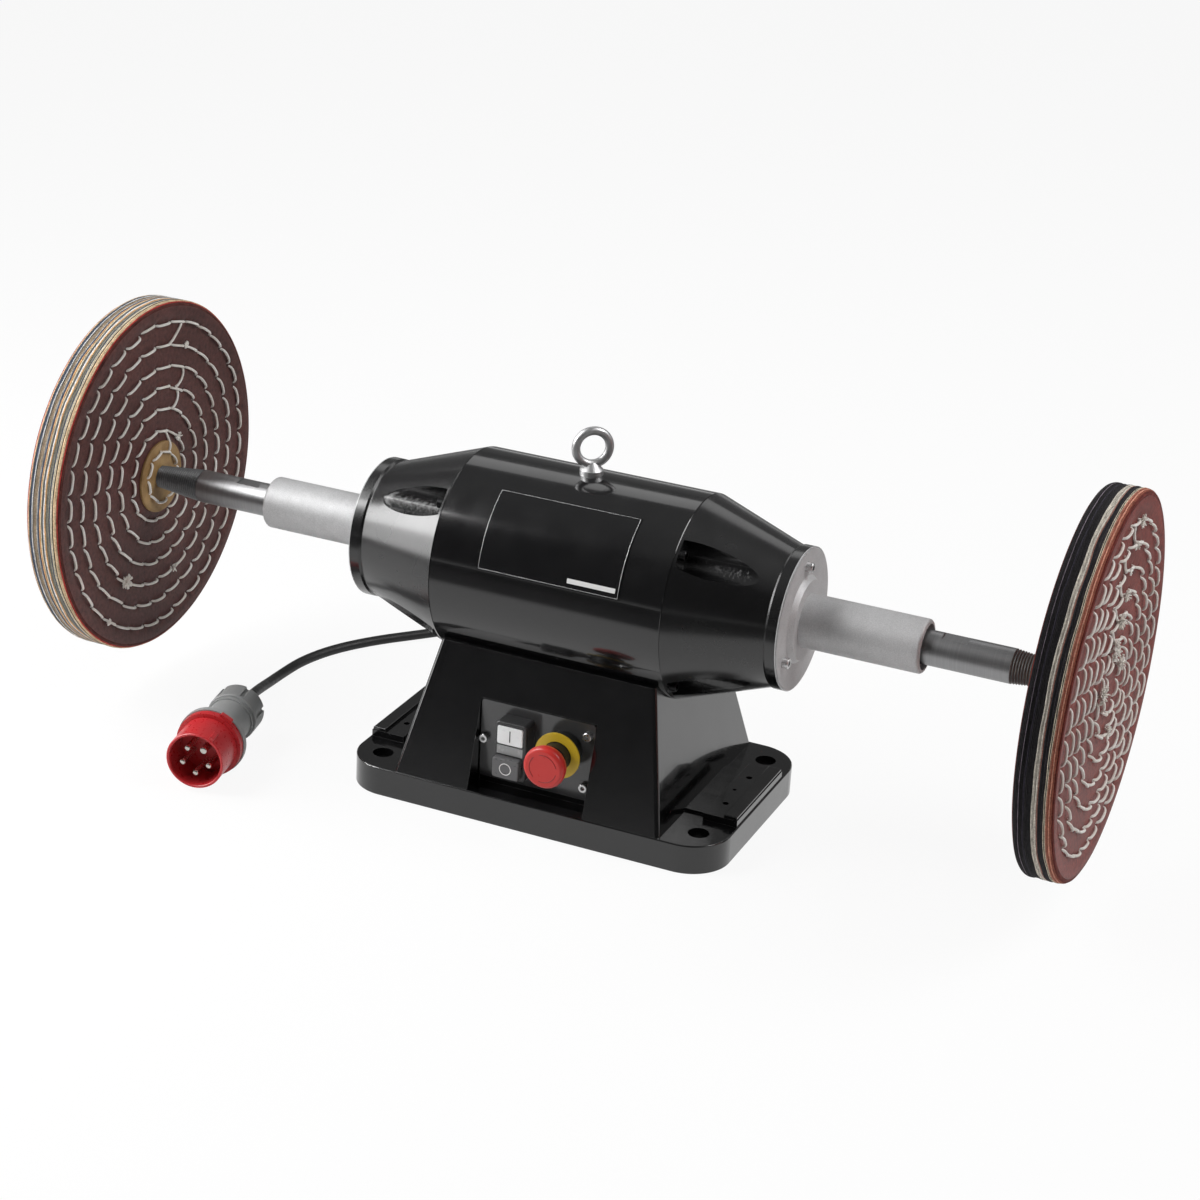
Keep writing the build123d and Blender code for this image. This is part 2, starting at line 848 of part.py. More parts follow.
    # Ball bearing: two grooved races, balls and their cage
    with BuildPart() as outer_race:
        turned(
            spindle_plane(),
            mirrored(
                [
                    (bearing_inner_side, race_land_outer),
                    (bearing_inner_side, bearing_outer_radius),
                    (bearing_outer_side, bearing_outer_radius),
                    (bearing_outer_side, race_land_outer),
                ],
                side,
            ),
        )
        turned_groove(spindle_plane(), bearing_middle, ball_pitch_radius, ball_radius + ball_clearance)
    save(outer_race.part, f"{side_name}_bearing_outer_race")

    with BuildPart() as inner_race:
        turned(
            spindle_plane(),
            mirrored(
                [
                    (bearing_inner_side, bearing_bore_radius + bearing_fit),
                    (bearing_inner_side, race_land_inner),
                    (bearing_outer_side, race_land_inner),
                    (bearing_outer_side, bearing_bore_radius + bearing_fit),
                ],
                side,
            ),
        )
        turned_groove(spindle_plane(), bearing_middle, ball_pitch_radius, ball_radius + ball_clearance)
    save(inner_race.part, f"{side_name}_bearing_inner_race")

    ball_places = [
        (bearing_middle, *around(ball_pitch_radius, ball * 360 / ball_count)) for ball in range(ball_count)
    ]
    with BuildPart() as bearing_balls:
        with Locations(*ball_places):
            Sphere(ball_radius)
    save(bearing_balls.part, f"{side_name}_bearing_balls")

    with BuildPart() as bearing_cage:
        turned(
            spindle_plane(),
            [
                (bearing_middle - cage_half_width, cage_inner_radius),
                (bearing_middle - cage_half_width, cage_outer_radius),
                (bearing_middle + cage_half_width, cage_outer_radius),
                (bearing_middle + cage_half_width, cage_inner_radius),
            ],
        )
        with Locations(*ball_places):
            Sphere(ball_radius + ball_clearance / 2, mode=Mode.SUBTRACT)
    save(bearing_cage.part, f"{side_name}_bearing_cage")

    # Cloth buff: a shallow groove between each ply and the next
    ply_width = wheel_width / ply_count
    wheel_outer_face = wheel_inner_face + wheel_width
    buff_profile = [(wheel_inner_face, taper_radius(wheel_inner_face) + bore_gap)]
    buff_profile.append((wheel_inner_face, wheel_radius - ply_groove_depth))
    for ply in range(ply_count):
        ply_start = wheel_inner_face + ply * ply_width
        buff_profile.append((ply_start + ply_groove_half_width, wheel_radius))
        buff_profile.append((ply_start + ply_width - ply_groove_half_width, wheel_radius))
        buff_profile.append((ply_start + ply_width, wheel_radius - ply_groove_depth))
    buff_profile.append((wheel_outer_face, 0))
    buff_profile.append((thread_end + bore_gap, 0))
    buff_profile.append((thread_end + bore_gap, thread_end_radius + bore_gap))
    with BuildPart() as buff_wheel:
        turned(spindle_plane(), mirrored(buff_profile, side))
    save(buff_wheel.part, f"{side_name}_buff_wheel")

    washer_face = wheel_inner_face - washer_thickness
    with BuildPart() as buff_washer:
        turned(
            spindle_plane(),
            mirrored(
                [
                    (washer_face, taper_radius(washer_face) + bore_gap),
                    (washer_face, washer_radius),
                    (wheel_inner_face, washer_radius),
                    (wheel_inner_face, taper_radius(washer_face) + bore_gap),
                ],
                side,
            ),
        )
        washer_circles = buff_washer.edges().filter_by(GeomType.CIRCLE)
        fillet(washer_circles.filter_by(lambda edge: edge.radius > washer_radius - 1), washer_thickness / 4)
    save(buff_washer.part, f"{side_name}_buff_washer")

# Preload ring behind the left bearing
with BuildPart() as bearing_preload_ring:
    ring_side = -bearing_inner_side
    turned(
        spindle_plane(),
        [
            (ring_side, race_land_outer + preload_ring_margin),
            (ring_side, bearing_outer_radius - preload_ring_margin),
            (ring_side + preload_ring_thickness, bearing_outer_radius - preload_ring_margin),
            (ring_side + preload_ring_thickness, race_land_outer + preload_ring_margin),
        ],
    )
save(bearing_preload_ring.part, "bearing_preload_ring")

# Controls

plate_front = recess_back - plate_thickness
with BuildPart() as control_plate:
    with BuildSketch(front_plane(recess_back)):
        with Locations((0, (plate_bottom + plate_top) / 2)):
            RectangleRounded(2 * plate_half_width, plate_top - plate_bottom, plate_corner_radius)
        with Locations(switch_middle):
            Rectangle(*switch_opening, mode=Mode.SUBTRACT)
        with Locations(estop_place):
            Circle(estop_thread_radius + hole_clearance, mode=Mode.SUBTRACT)
        with Locations(*plate_screw_places):
            Circle(plate_screw_radius + hole_clearance, mode=Mode.SUBTRACT)
    extrude(amount=plate_thickness)
save(control_plate.part, "control_plate")

plate_screw = socket_screw(
    plate_screw_radius,
    plate_screw_length,
    plate_screw_head_radius,
    plate_screw_head_height,
    plate_screw_socket_width,
)
with BuildPart() as control_plate_screws:
    with Locations(*(Location((x, plate_front, z), (90, 0, 0)) for x, z in plate_screw_places)):
        add(plate_screw)
save(control_plate_screws.part, "control_plate_screws")

switch_front = plate_front - switch_depth
button_sizes = {start_button_place: start_button_size, stop_button_place: stop_button_size}
with BuildPart() as switch_housing:
    with BuildSketch(front_plane(plate_front)):
        with Locations(switch_middle):
            RectangleRounded(switch_width, switch_height, switch_corner_radius)
    extrude(amount=switch_depth)
    fillet(switch_housing.faces().sort_by(Axis.Y)[0].edges(), switch_edge_radius)
    for place, size in button_sizes.items():
        with BuildSketch(front_plane(switch_front)):
            with Locations(place):
                RectangleRounded(size[0] + 2 * button_gap, size[1] + 2 * button_gap, button_corner_radius)
        extrude(amount=-button_pocket_depth, mode=Mode.SUBTRACT)
        rod_along_y((switch_front, plate_front), place, button_stem_radius + estop_stem_gap, Mode.SUBTRACT)
    with BuildSketch(front_plane(switch_front)):
        with Locations(switch_window_place):
            Rectangle(*switch_window_size)
    extrude(amount=-switch_window_depth, mode=Mode.SUBTRACT)
save(switch_housing.part, "switch_housing")

with BuildPart() as switch_window:
    with BuildSketch(front_plane(switch_front + switch_window_depth)):
        with Locations(switch_window_place):
            Rectangle(*switch_window_size)
    extrude(amount=switch_window_depth)
save(switch_window.part, "switch_window")

button_back = switch_front + button_pocket_depth - button_travel - button_spare_travel
buttons = {
    "start_button": (start_button_place, start_button_size, start_button_proud),
    "stop_button": (stop_button_place, stop_button_size, stop_button_proud),
}
for button_name, (place, size, proud) in buttons.items():
    with BuildPart() as button:
        with BuildSketch(front_plane(button_back)):
            with Locations(place):
                RectangleRounded(*size, button_corner_radius - button_gap)
        extrude(amount=button_back - switch_front + proud)
        fillet(button.faces().sort_by(Axis.Y)[0].edges(), button_edge_radius)
        rod_along_y((button_back, button_stem_end), place, button_stem_radius)
    save(button.part, button_name)

with BuildPart() as switch_contact_block:
    block_width, block_height = (span - 2 * button_gap for span in switch_opening)
    block(
        (switch_middle[0] - block_width / 2, switch_middle[0] + block_width / 2),
        (plate_front, contact_block_back),
        (switch_middle[1] - block_height / 2, switch_middle[1] + block_height / 2),
    )
    for place in button_sizes:
        well_span = (plate_front, button_stem_end + button_travel + button_spare_travel)
        rod_along_y(well_span, place, button_stem_radius + estop_stem_gap, Mode.SUBTRACT)
save(switch_contact_block.part, "switch_contact_block")

# Emergency stop

stem_bore = estop_stem_radius + estop_stem_gap
with BuildPart() as estop_body:
    turned(
        estop_plane,
        [
            (estop_thread_back, stem_bore),
            (estop_thread_back, estop_thread_radius),
            (-plate_front, estop_thread_radius),
            (-plate_front, estop_body_radius),
            (estop_body_front, estop_body_radius),
            (estop_body_front, estop_neck_radius),
            (estop_neck_front, estop_neck_radius),
            (estop_neck_front, estop_guide_radius),
            (estop_guide_front, estop_guide_radius),
            (estop_guide_front, stem_bore),
        ],
    )
save(estop_body.part, "estop_body")

with BuildPart() as estop_nut:
    turned(
        estop_plane,
        [
            (-recess_back, estop_thread_radius + hole_clearance),
            (-recess_back, estop_nut_radius),
            (-recess_back - estop_nut_thickness, estop_nut_radius),
            (-recess_back - estop_nut_thickness, estop_thread_radius + hole_clearance),
        ],
    )
save(estop_nut.part, "estop_nut")

with BuildPart() as estop_ring:
    turned(
        estop_plane,
        [
            (estop_body_front, estop_ring_bore),
            (estop_body_front, estop_ring_radius),
            (estop_ring_front, estop_ring_radius),
            (estop_ring_front, estop_ring_bore),
        ],
    )
save(estop_ring.part, "estop_ring")

with BuildPart() as estop_stem:
    turned(
        estop_plane,
        [
            (estop_stem_back, 0),
            (estop_stem_back, estop_stem_radius),
            (estop_stem_front, estop_stem_radius),
            (estop_stem_front, 0),
        ],
    )
save(estop_stem.part, "estop_stem")

with BuildPart() as estop_cap:
    turned(
        estop_plane,
        [
            (estop_cap_back, estop_cap_hollow_radius),
            (estop_cap_back, estop_cap_back_radius),
            (estop_cap_widest, estop_cap_radius),
            (estop_cap_front, estop_cap_radius),
            (estop_cap_front, 0),
            (estop_stem_front, 0),
            (estop_stem_front, estop_stem_radius + bearing_fit),
            (estop_cap_hollow_front, estop_stem_radius + bearing_fit),
            (estop_cap_hollow_front, estop_cap_hollow_radius),
        ],
    )
    front_rim = estop_cap.edges().filter_by(GeomType.CIRCLE).sort_by(Axis.Y)[0]
    fillet(front_rim, estop_cap_edge_radius)
save(estop_cap.part, "estop_cap")

with BuildPart() as estop_contact_block:
    half_block = estop_block_size / 2
    block(
        (estop_place[0] - half_block, estop_place[0] + half_block),
        (-estop_thread_back, -estop_block_back),
        (estop_place[1] - half_block, estop_place[1] + half_block),
    )
    block_well = (-estop_thread_back, -estop_thread_back + estop_block_well)
    rod_along_y(block_well, estop_place, stem_bore, Mode.SUBTRACT)
save(estop_contact_block.part, "estop_contact_block")

# Lifting eye, screwed into the top of the motor

motor_top = spindle_height + motor_radius
eye_normal = (-sin(radians(eye_turn)), cos(radians(eye_turn)), 0)
with BuildPart() as eye_bolt:
    collar_span = (motor_top - eye_collar_sink, motor_top + eye_collar_height)
    rod_along_z(collar_span, [(0, 0)], eye_collar_radius)
    chamfer(eye_bolt.edges().group_by(Axis.Z)[-1], eye_collar_chamfer)
    rod_along_x((-motor_radius, motor_radius), (0, spindle_height), motor_radius + saddle_gap, Mode.SUBTRACT)
    rod_along_z((motor_top - eye_shank_length, motor_top + eye_collar_height), [(0, 0)], eye_shank_radius)
    with Locations((0, 0, motor_top + eye_collar_height)):
        Cone(
            eye_collar_radius - eye_collar_chamfer,
            eye_section_radius,
            eye_neck_height,
            align=(Align.CENTER, Align.CENTER, Align.MIN),
        )
    with Locations(Plane(origin=(0, 0, motor_top + eye_height), z_dir=eye_normal)):
        Torus(eye_ring_radius, eye_section_radius)
save(eye_bolt.part, "eye_bolt")

# Rating plate

plate_inner = motor_radius + rating_plate_gap
plate_outer = plate_inner + rating_plate_thickness
with BuildPart() as rating_plate:
    turned(
        spindle_plane(rating_plate_angles[0]),
        [
            (rating_plate_ends[0], plate_inner),
            (rating_plate_ends[0], plate_outer),
            (rating_plate_ends[1], plate_outer),
            (rating_plate_ends[1], plate_inner),
        ],
        arc=rating_plate_angles[1] - rating_plate_angles[0],
    )
save(rating_plate.part, "rating_plate")

# Terminal block

with BuildPart() as terminal_block:
    terminal_back = cavity_depth / 2
    block(
        (-terminal_half_length, terminal_half_length),
        (terminal_back - terminal_depth, terminal_back),
        (terminal_bottom, terminal_top),
    )
    terminal_middle = (terminal_bottom + terminal_top) / 2
    for terminal in range(terminal_count):
        terminal_x = (terminal - (terminal_count - 1) / 2) * terminal_spacing
        well = (terminal_back - terminal_depth, terminal_back - terminal_depth + terminal_well_depth)
        rod_along_y(well, (terminal_x, terminal_middle), terminal_well_radius, Mode.SUBTRACT)
save(terminal_block.part, "terminal_block")

# Cable gland with a tapered strain relief

with BuildPart() as cable_gland:
    gland_hex_end = boss_face + gland_hex_length
    rod_along_y((gland_thread_back, boss_face), (gland_x, gland_height), gland_thread_radius)
    with BuildSketch(front_plane(gland_hex_end)):
        with Locations((gland_x, gland_height)):
            RegularPolygon(gland_hex_width / 2, 6, major_radius=False)
    extrude(amount=gland_hex_length)
    turned(
        gland_plane,
        [
            (gland_hex_end, 0),
            (gland_hex_end, gland_dome_radius),
            (gland_hex_end + gland_dome_length, gland_dome_radius),
            (gland_tip, gland_tip_radius),
            (gland_tip, 0),
        ],
    )
save(cable_gland.part, "cable_gland")

# Supply cord


def corner_radii(points):
    """Radius at each corner of a route: 0.45 of the shorter run over the tangent of half the turn."""
    radii = []
    for before, corner, after in zip(points, points[1:], points[2:]):
        run_in = Vector(corner) - Vector(before)
        run_out = Vector(after) - Vector(corner)
        half_turn = radians(run_in.get_angle(run_out)) / 2
        radii.append(0.45 * min(run_in.length, run_out.length) / tan(half_turn))
    return radii


def coil_place(angle):
    """Point on the coil's middle line after an angle of winding, in degrees."""
    turns = angle / 360
    inner_radius = coil_start_radius - coil_pitch * coil_inward_turns
    past_inner = turns - coil_inward_turns
    past_reverse = past_inner - coil_reverse_turns
    if past_inner <= 0:
        radius = coil_start_radius - coil_pitch * turns
        climb = 0
    elif past_reverse < 0:
        share = past_inner / coil_reverse_turns
        radius = inner_radius - coil_pitch * coil_reverse_turns * share * (1 - share)
        climb = share * share * (3 - 2 * share)
    else:
        radius = inner_radius + coil_pitch * past_reverse
        climb = 1
    across = coil_middle[0] + radius * cos(radians(angle))
    back = coil_middle[1] + radius * sin(radians(angle))
    return Vector(across, back, coil_base + climb * coil_layer_step)


def coil_direction(angle):
    """Direction of the coil's middle line after an angle of winding."""
    step = 0.01
    return (coil_place(angle + step) - coil_place(angle - step)).normalized()


def biarc(start, start_direction, end, end_direction):
    """Two arcs that join two points and keep both directions."""
    chord = end - start
    both = start_direction + end_direction
    a = 2 * (start_direction.dot(end_direction) - 1)
    b = -2 * chord.dot(both)
    reach = (-b - sqrt(b * b - 4 * a * chord.dot(chord))) / (2 * a)
    start_handle = start + start_direction * reach
    end_handle = end - end_direction * reach
    middle = (start_handle + end_handle) * 0.5
    TangentArc(start, middle, tangent=start_direction)
    TangentArc(middle, end, tangent=end_handle - start_handle)


coil_angle = 360 * (coil_inward_turns + coil_reverse_turns + coil_outward_turns)
coil_steps = int(coil_steps_per_turn * coil_angle / 360)
coil_angles = [step * coil_angle / coil_steps for step in range(coil_steps + 1)]
coil_entry_direction = Vector(0, 1, 0)
coil_exit_direction = Vector(-1, 0, 0)
coil_directions = [coil_entry_direction]
coil_directions += [coil_direction(angle) for angle in coil_angles[1:-1]]
coil_directions.append(coil_exit_direction)
coil_entry = coil_place(0) - coil_entry_direction * cord_diameter
coil_exit = coil_place(coil_angle) + coil_exit_direction * cord_diameter

with BuildPart() as cord_coil:
    with BuildLine() as coil_line:
        Line(coil_entry, coil_place(0))
        for step in range(coil_steps):
            biarc(
                coil_place(coil_angles[step]),
                coil_directions[step],
                coil_place(coil_angles[step + 1]),
                coil_directions[step + 1],
            )
        Line(coil_place(coil_angle), coil_exit)
    with BuildSketch(Plane(origin=coil_entry, z_dir=coil_entry_direction)):
        Circle(cord_radius)
    sweep()
save(cord_coil.part, "cord_coil")

# From the gland down to the bench and straight into the coil
inner_route = [
    (gland_x, gland_tip, gland_height),
    (gland_x, gland_tip + 17.6, gland_height),
    (gland_x, gland_tip + 40.4, gland_height - 7.4),
    (gland_x, gland_tip + 74.6, coil_base + 7.4),
    (gland_x, gland_tip + 97.4, coil_base),
    (gland_x, coil_entry.Y, coil_base),
]

# From the coil round the left of the machine to the plug
plug_entry = plug_plane.from_local_coords((plug_nut_end, 0, 0))
plug_approach = plug_plane.from_local_coords((plug_nut_end + 18, 0, 0))
outer_route = [
    (coil_exit.X, coil_exit.Y, coil_exit.Z),
    (-150, coil_exit.Y, coil_exit.Z),
    (-187, 315, 7),
    (-222, 291, 5),
    (-251, 260, 5),
    (-282, 223, 5),
    (-315, 186, 5),
    (-342, 144, 5),
    (-356, 101, 5),
    (-357, 62, 6),
    (-350, 22, 13),
    (-340, -14, 23),
    (plug_approach.X, plug_approach.Y, plug_approach.Z),
    (plug_entry.X, plug_entry.Y, plug_entry.Z),
]

for run_name, route in {"cord_inner_run": inner_route, "cord_outer_run": outer_route}.items():
    radii = corner_radii(route)
    run_start = Vector(route[1]) - Vector(route[0])
    with BuildPart() as cord_run:
        with BuildLine() as run_line:
            FilletPolyline(*route, radius=radii)
        with BuildSketch(Plane(origin=route[0], z_dir=run_start)):
            Circle(cord_radius)
        sweep()
    save(cord_run.part, run_name)
    run_length = sum(edge.length for edge in run_line.edges())
    print(run_name, "radii", [round(radius) for radius in radii])
    print(run_name, "length", round(run_length, 1))
    run_volume = pi * cord_radius**2 * run_length
    print(run_name, "volume over section times length", round(cord_run.part.volume / run_volume, 4))

# Least gap between the coil's own turns, measured on points along its middle line
coil_length = sum(edge.length for edge in coil_line.edges())
gap_step = 3
apart = 180 // gap_step
gap_points = [coil_place(angle) for angle in range(0, int(coil_angle) + 1, gap_step)]
least_gap = min(
    (first - second).length - cord_diameter
    for index, first in enumerate(gap_points)
    for second in gap_points[index + apart:]
)
print("cord_coil length", round(coil_length, 1))
coil_volume = pi * cord_radius**2 * coil_length
print("cord_coil volume over section times length", round(cord_coil.part.volume / coil_volume, 4))
print("cord_coil least gap", round(least_gap, 2))

# Tie round the coil
tie_places = [coil_place(angle) for angle in range(tie_angle, int(coil_angle), 360)]
tie_radii = [(place - Vector(*coil_middle, place.Z)).length for place in tie_places]
tie_inner = min(tie_radii) - cord_radius - tie_gap
tie_outer = max(tie_radii) + cord_radius + tie_gap
tie_bottom = coil_base - cord_radius - tie_gap
tie_top = coil_base + coil_layer_step + cord_radius + tie_gap
tie_out = Vector(cos(radians(tie_angle)), sin(radians(tie_angle)), 0)
tie_along = Vector(-tie_out.Y, tie_out.X, 0)
with BuildPart() as coil_tie:
    tie_origin = Vector(*coil_middle, 0) - tie_along * (tie_width / 2)
    with BuildSketch(Plane(origin=tie_origin, x_dir=tie_out, z_dir=tie_along)):
        with Locations(((tie_inner + tie_outer) / 2, -(tie_bottom + tie_top) / 2)):
            tie_across = tie_outer - tie_inner
            tie_high = tie_top - tie_bottom
            RectangleRounded(tie_across + 2 * tie_thickness, tie_high + 2 * tie_thickness, tie_corner_radius)
            RectangleRounded(tie_across, tie_high, tie_corner_radius - tie_thickness, mode=Mode.SUBTRACT)
    extrude(amount=tie_width)
save(coil_tie.part, "coil_tie")

# Plug


def plug_rib(angle, start, end, width, height, base_radius):
    """Upright rib on the shroud, at an angle from the top towards its right, half sunk into the wall."""
    turn = radians(angle)
    rib_up = plug_plane.y_dir * cos(turn) + plug_plane.z_dir * sin(turn)
    rib_origin = plug_plane.from_local_coords((start, 0, 0))
    with BuildSketch(Plane(origin=rib_origin, x_dir=rib_up, z_dir=plug_plane.x_dir)) as section:
        with Locations((base_radius, 0)):
            RectangleRounded(2 * height, width, plug_rib_rounding)
    extrude(section.sketch, amount=end - start)


with BuildPart() as plug_shroud:
    turned(
        plug_plane,
        [
            (0, shroud_bore + shroud_rim_edge),
            (0, shroud_radius - shroud_rim_edge),
            (shroud_rim_edge, shroud_radius),
            (collar_start, shroud_radius),
            (collar_start, collar_radius),
            (plug_flange_start, collar_radius),
            (plug_flange_start, 0),
            (shroud_floor, 0),
            (shroud_floor, shroud_bore),
            (shroud_rim_edge, shroud_bore),
        ],
    )
    plug_rib(plug_key_angle, plug_key_start, plug_key_end, plug_key_width, plug_key_height, shroud_radius)
    lug_end = plug_flange_start
    plug_rib(plug_lug_angle, plug_lug_start, lug_end, plug_lug_width, plug_lug_height, collar_radius)
save(plug_shroud.part, "plug_shroud")

with BuildPart() as plug_pins:
    for pin in range(plug_pin_count):
        pin_turn = radians(plug_earth_pin_angle + pin * 360 / plug_pin_count)
        pin_radius = plug_earth_pin_radius if pin == 0 else plug_pin_radius
        pin_height = plug_pin_circle * cos(pin_turn)
        pin_side = plug_pin_circle * sin(pin_turn)
        pin_plane = Plane(
            origin=plug_plane.from_local_coords((0, pin_height, pin_side)),
            x_dir=plug_plane.x_dir,
            z_dir=plug_plane.z_dir,
        )
        turned(
            pin_plane,
            [
                (plug_pin_tip, 0),
                (plug_pin_tip, pin_radius - plug_pin_rounding),
                (plug_pin_tip + plug_pin_rounding / 3, pin_radius - plug_pin_rounding / 3),
                (plug_pin_tip + plug_pin_rounding, pin_radius),
                (shroud_floor, pin_radius),
                (shroud_floor, 0),
            ],
        )
save(plug_pins.part, "plug_pins")

with BuildPart() as plug_body:
    turned(
        plug_plane,
        [
            (plug_flange_start, 0),
            (plug_flange_start, plug_flange_radius),
            (plug_flange_end - plug_flange_edge, plug_flange_radius),
            (plug_flange_end, plug_flange_radius - plug_flange_edge),
            (plug_flange_end, plug_taper_radius),
            (plug_taper_end, plug_neck_radius),
            (plug_shoulder_start, plug_neck_radius),
            (plug_shoulder_start, plug_shoulder_radius),
            (plug_nut_start, plug_shoulder_radius),
            (plug_nut_start, 0),
        ],
    )
save(plug_body.part, "plug_body")

with BuildPart() as plug_gland_nut:
    # Grip with a domed end, where the cord comes in
    with BuildSketch(plug_plane) as nut_section:
        with BuildLine():
            Polyline(
                (plug_nut_end, plug_nut_end_radius),
                (plug_nut_end, 0),
                (plug_nut_start, 0),
                (plug_nut_start, plug_nut_radius - plug_nut_edge),
                (plug_nut_start + plug_nut_edge, plug_nut_radius),
                (plug_nut_straight_end, plug_nut_radius),
            )
            SagittaArc(
                (plug_nut_straight_end, plug_nut_radius),
                (plug_nut_end, plug_nut_end_radius),
                -plug_nut_bulge * (plug_nut_end - plug_nut_straight_end),
            )
        make_face()
    revolve(nut_section.sketch, axis=Axis(plug_plane.origin, plug_plane.x_dir))
    groove_origin = plug_plane.from_local_coords((plug_nut_start + plug_nut_band, 0, 0))
    groove_plane = Plane(origin=groove_origin, x_dir=plug_plane.y_dir, z_dir=plug_plane.x_dir)
    with BuildSketch(groove_plane) as groove_sections:
        with PolarLocations(plug_nut_radius, plug_nut_grooves, start_angle=plug_nut_groove_angle):
            Circle(plug_nut_groove_radius)
    extrude(groove_sections.sketch, amount=plug_nut_end - plug_nut_start, mode=Mode.SUBTRACT)
save(plug_gland_nut.part, "plug_gland_nut")
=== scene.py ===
import json
import math
import random

import bmesh
import bpy
from mathutils import Matrix, Vector, noise


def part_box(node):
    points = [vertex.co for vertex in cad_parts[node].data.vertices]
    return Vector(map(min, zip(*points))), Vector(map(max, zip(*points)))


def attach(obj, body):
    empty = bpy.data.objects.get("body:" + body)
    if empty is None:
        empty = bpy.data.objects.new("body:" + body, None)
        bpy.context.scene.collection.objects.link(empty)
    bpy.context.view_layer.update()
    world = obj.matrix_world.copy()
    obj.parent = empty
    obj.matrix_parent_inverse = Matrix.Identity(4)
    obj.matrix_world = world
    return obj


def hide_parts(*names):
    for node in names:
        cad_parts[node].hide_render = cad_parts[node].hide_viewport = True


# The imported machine, in metres: X runs along the spindle, -Y faces the operator, Z is up
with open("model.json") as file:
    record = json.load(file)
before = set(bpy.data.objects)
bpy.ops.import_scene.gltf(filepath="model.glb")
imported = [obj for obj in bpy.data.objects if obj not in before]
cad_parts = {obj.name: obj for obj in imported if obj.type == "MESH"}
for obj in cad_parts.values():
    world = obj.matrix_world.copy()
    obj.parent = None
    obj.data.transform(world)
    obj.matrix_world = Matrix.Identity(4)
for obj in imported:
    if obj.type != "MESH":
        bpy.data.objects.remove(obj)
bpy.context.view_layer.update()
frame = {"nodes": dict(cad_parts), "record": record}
mm = 0.001
frame_body = "machine_frame"
spindle_body = "spindle"
side_signs = {"left": -1, "right": 1}
shaft_low, shaft_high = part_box("spindle_shaft")
spindle_height = (shaft_low.z + shaft_high.z) / 2


# Camera, at the photograph's viewpoint

camera_place = Vector((0.9295, -2.1735, 1.2021))
camera_yaw = math.radians(22.8)
camera_pitch = math.radians(23.147)
camera_roll = math.radians(3.368)
camera_lens = 82.8
sensor_width = 36


def add_camera():
    """Camera that looks down at the machine from the front right, rolled a little."""
    forward = Vector(
        (
            -math.sin(camera_yaw) * math.cos(camera_pitch),
            math.cos(camera_yaw) * math.cos(camera_pitch),
            -math.sin(camera_pitch),
        )
    )
    level = Vector((math.cos(camera_yaw), math.sin(camera_yaw), 0))
    upright = level.cross(forward)
    right = math.cos(camera_roll) * level + math.sin(camera_roll) * upright
    up = math.cos(camera_roll) * upright - math.sin(camera_roll) * level
    data = bpy.data.cameras.new("photo_camera")
    data.lens = camera_lens
    data.sensor_width = sensor_width
    camera = bpy.data.objects.new("photo_camera", data)
    turn = Matrix((right, up, -forward)).transposed().to_4x4()
    camera.matrix_world = Matrix.Translation(camera_place) @ turn
    bpy.context.scene.collection.objects.link(camera)
    bpy.context.scene.camera = camera


add_camera()


# Helpers for pieces, curves and turned meshes


def ease(value, start, end):
    """0 up to a start, 1 from an end, and a smooth step between them."""
    share = min(1, max(0, (value - start) / (end - start)))
    return share * share * (3 - 2 * share)


def spindle_point(x, radius, angle):
    """Point at a radius from the spindle, at an angle from the top towards the back."""
    return Vector((x, radius * math.sin(angle), spindle_height + radius * math.cos(angle)))


def add_piece(name, data, body):
    """Add a piece that rides on a body."""
    piece = bpy.data.objects.new(name, data)
    bpy.context.scene.collection.objects.link(piece)
    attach(piece, body)
    return piece


def tube_curve(name, runs, radius, roundness=3, fineness=4):
    """Tube with one smooth open spline for each run of points."""
    curve = bpy.data.curves.new(name, "CURVE")
    curve.dimensions = "3D"
    # The radius at each point scales a bevel with a depth of one
    curve.bevel_depth = 1
    curve.bevel_resolution = roundness
    curve.use_fill_caps = True
    for points in runs:
        spline = curve.splines.new("NURBS")
        spline.points.add(len(points) - 1)
        for control, point in zip(spline.points, points):
            control.co = (*point, 1)
            control.radius = radius
        spline.order_u = 3
        spline.use_endpoint_u = True
        spline.resolution_u = fineness
    return curve


def closed_mesh(name, points, faces):
    """Mesh with its faces turned outwards."""
    mesh = bpy.data.meshes.new(name)
    mesh.from_pydata(points, [], faces)
    shape = bmesh.new()
    shape.from_mesh(mesh)
    bmesh.ops.recalc_face_normals(shape, faces=shape.faces)
    shape.to_mesh(mesh)
    shape.free()
    return mesh


def turned_faces(radii, segments):
    """Faces between rings of points round an axis, where a ring of radius 0 is one point."""
    faces = []
    start = 0
    for radius, next_radius in zip(radii, radii[1:]):
        next_start = start + (1 if radius == 0 else segments)
        for step in range(segments):
            after = (step + 1) % segments
            near = [start] if radius == 0 else [start + step, start + after]
            far = [next_start] if next_radius == 0 else [next_start + after, next_start + step]
            faces.append(near + far)
        start = next_start
    return faces


# Supply cord: the route of the part's source, in millimetres, with the coil's turns worked out

cord_diameter = 10
gland_exit = Vector((-49.5, 141, 46))
coil_middle = Vector((-110, 266, 6.5))
coil_start_radius = 60.5
coil_step = 10.8
coil_inward_turns = 1.5
coil_reverse_turns = 0.5
coil_outward_turns = 1.25
coil_points_per_turn = 32

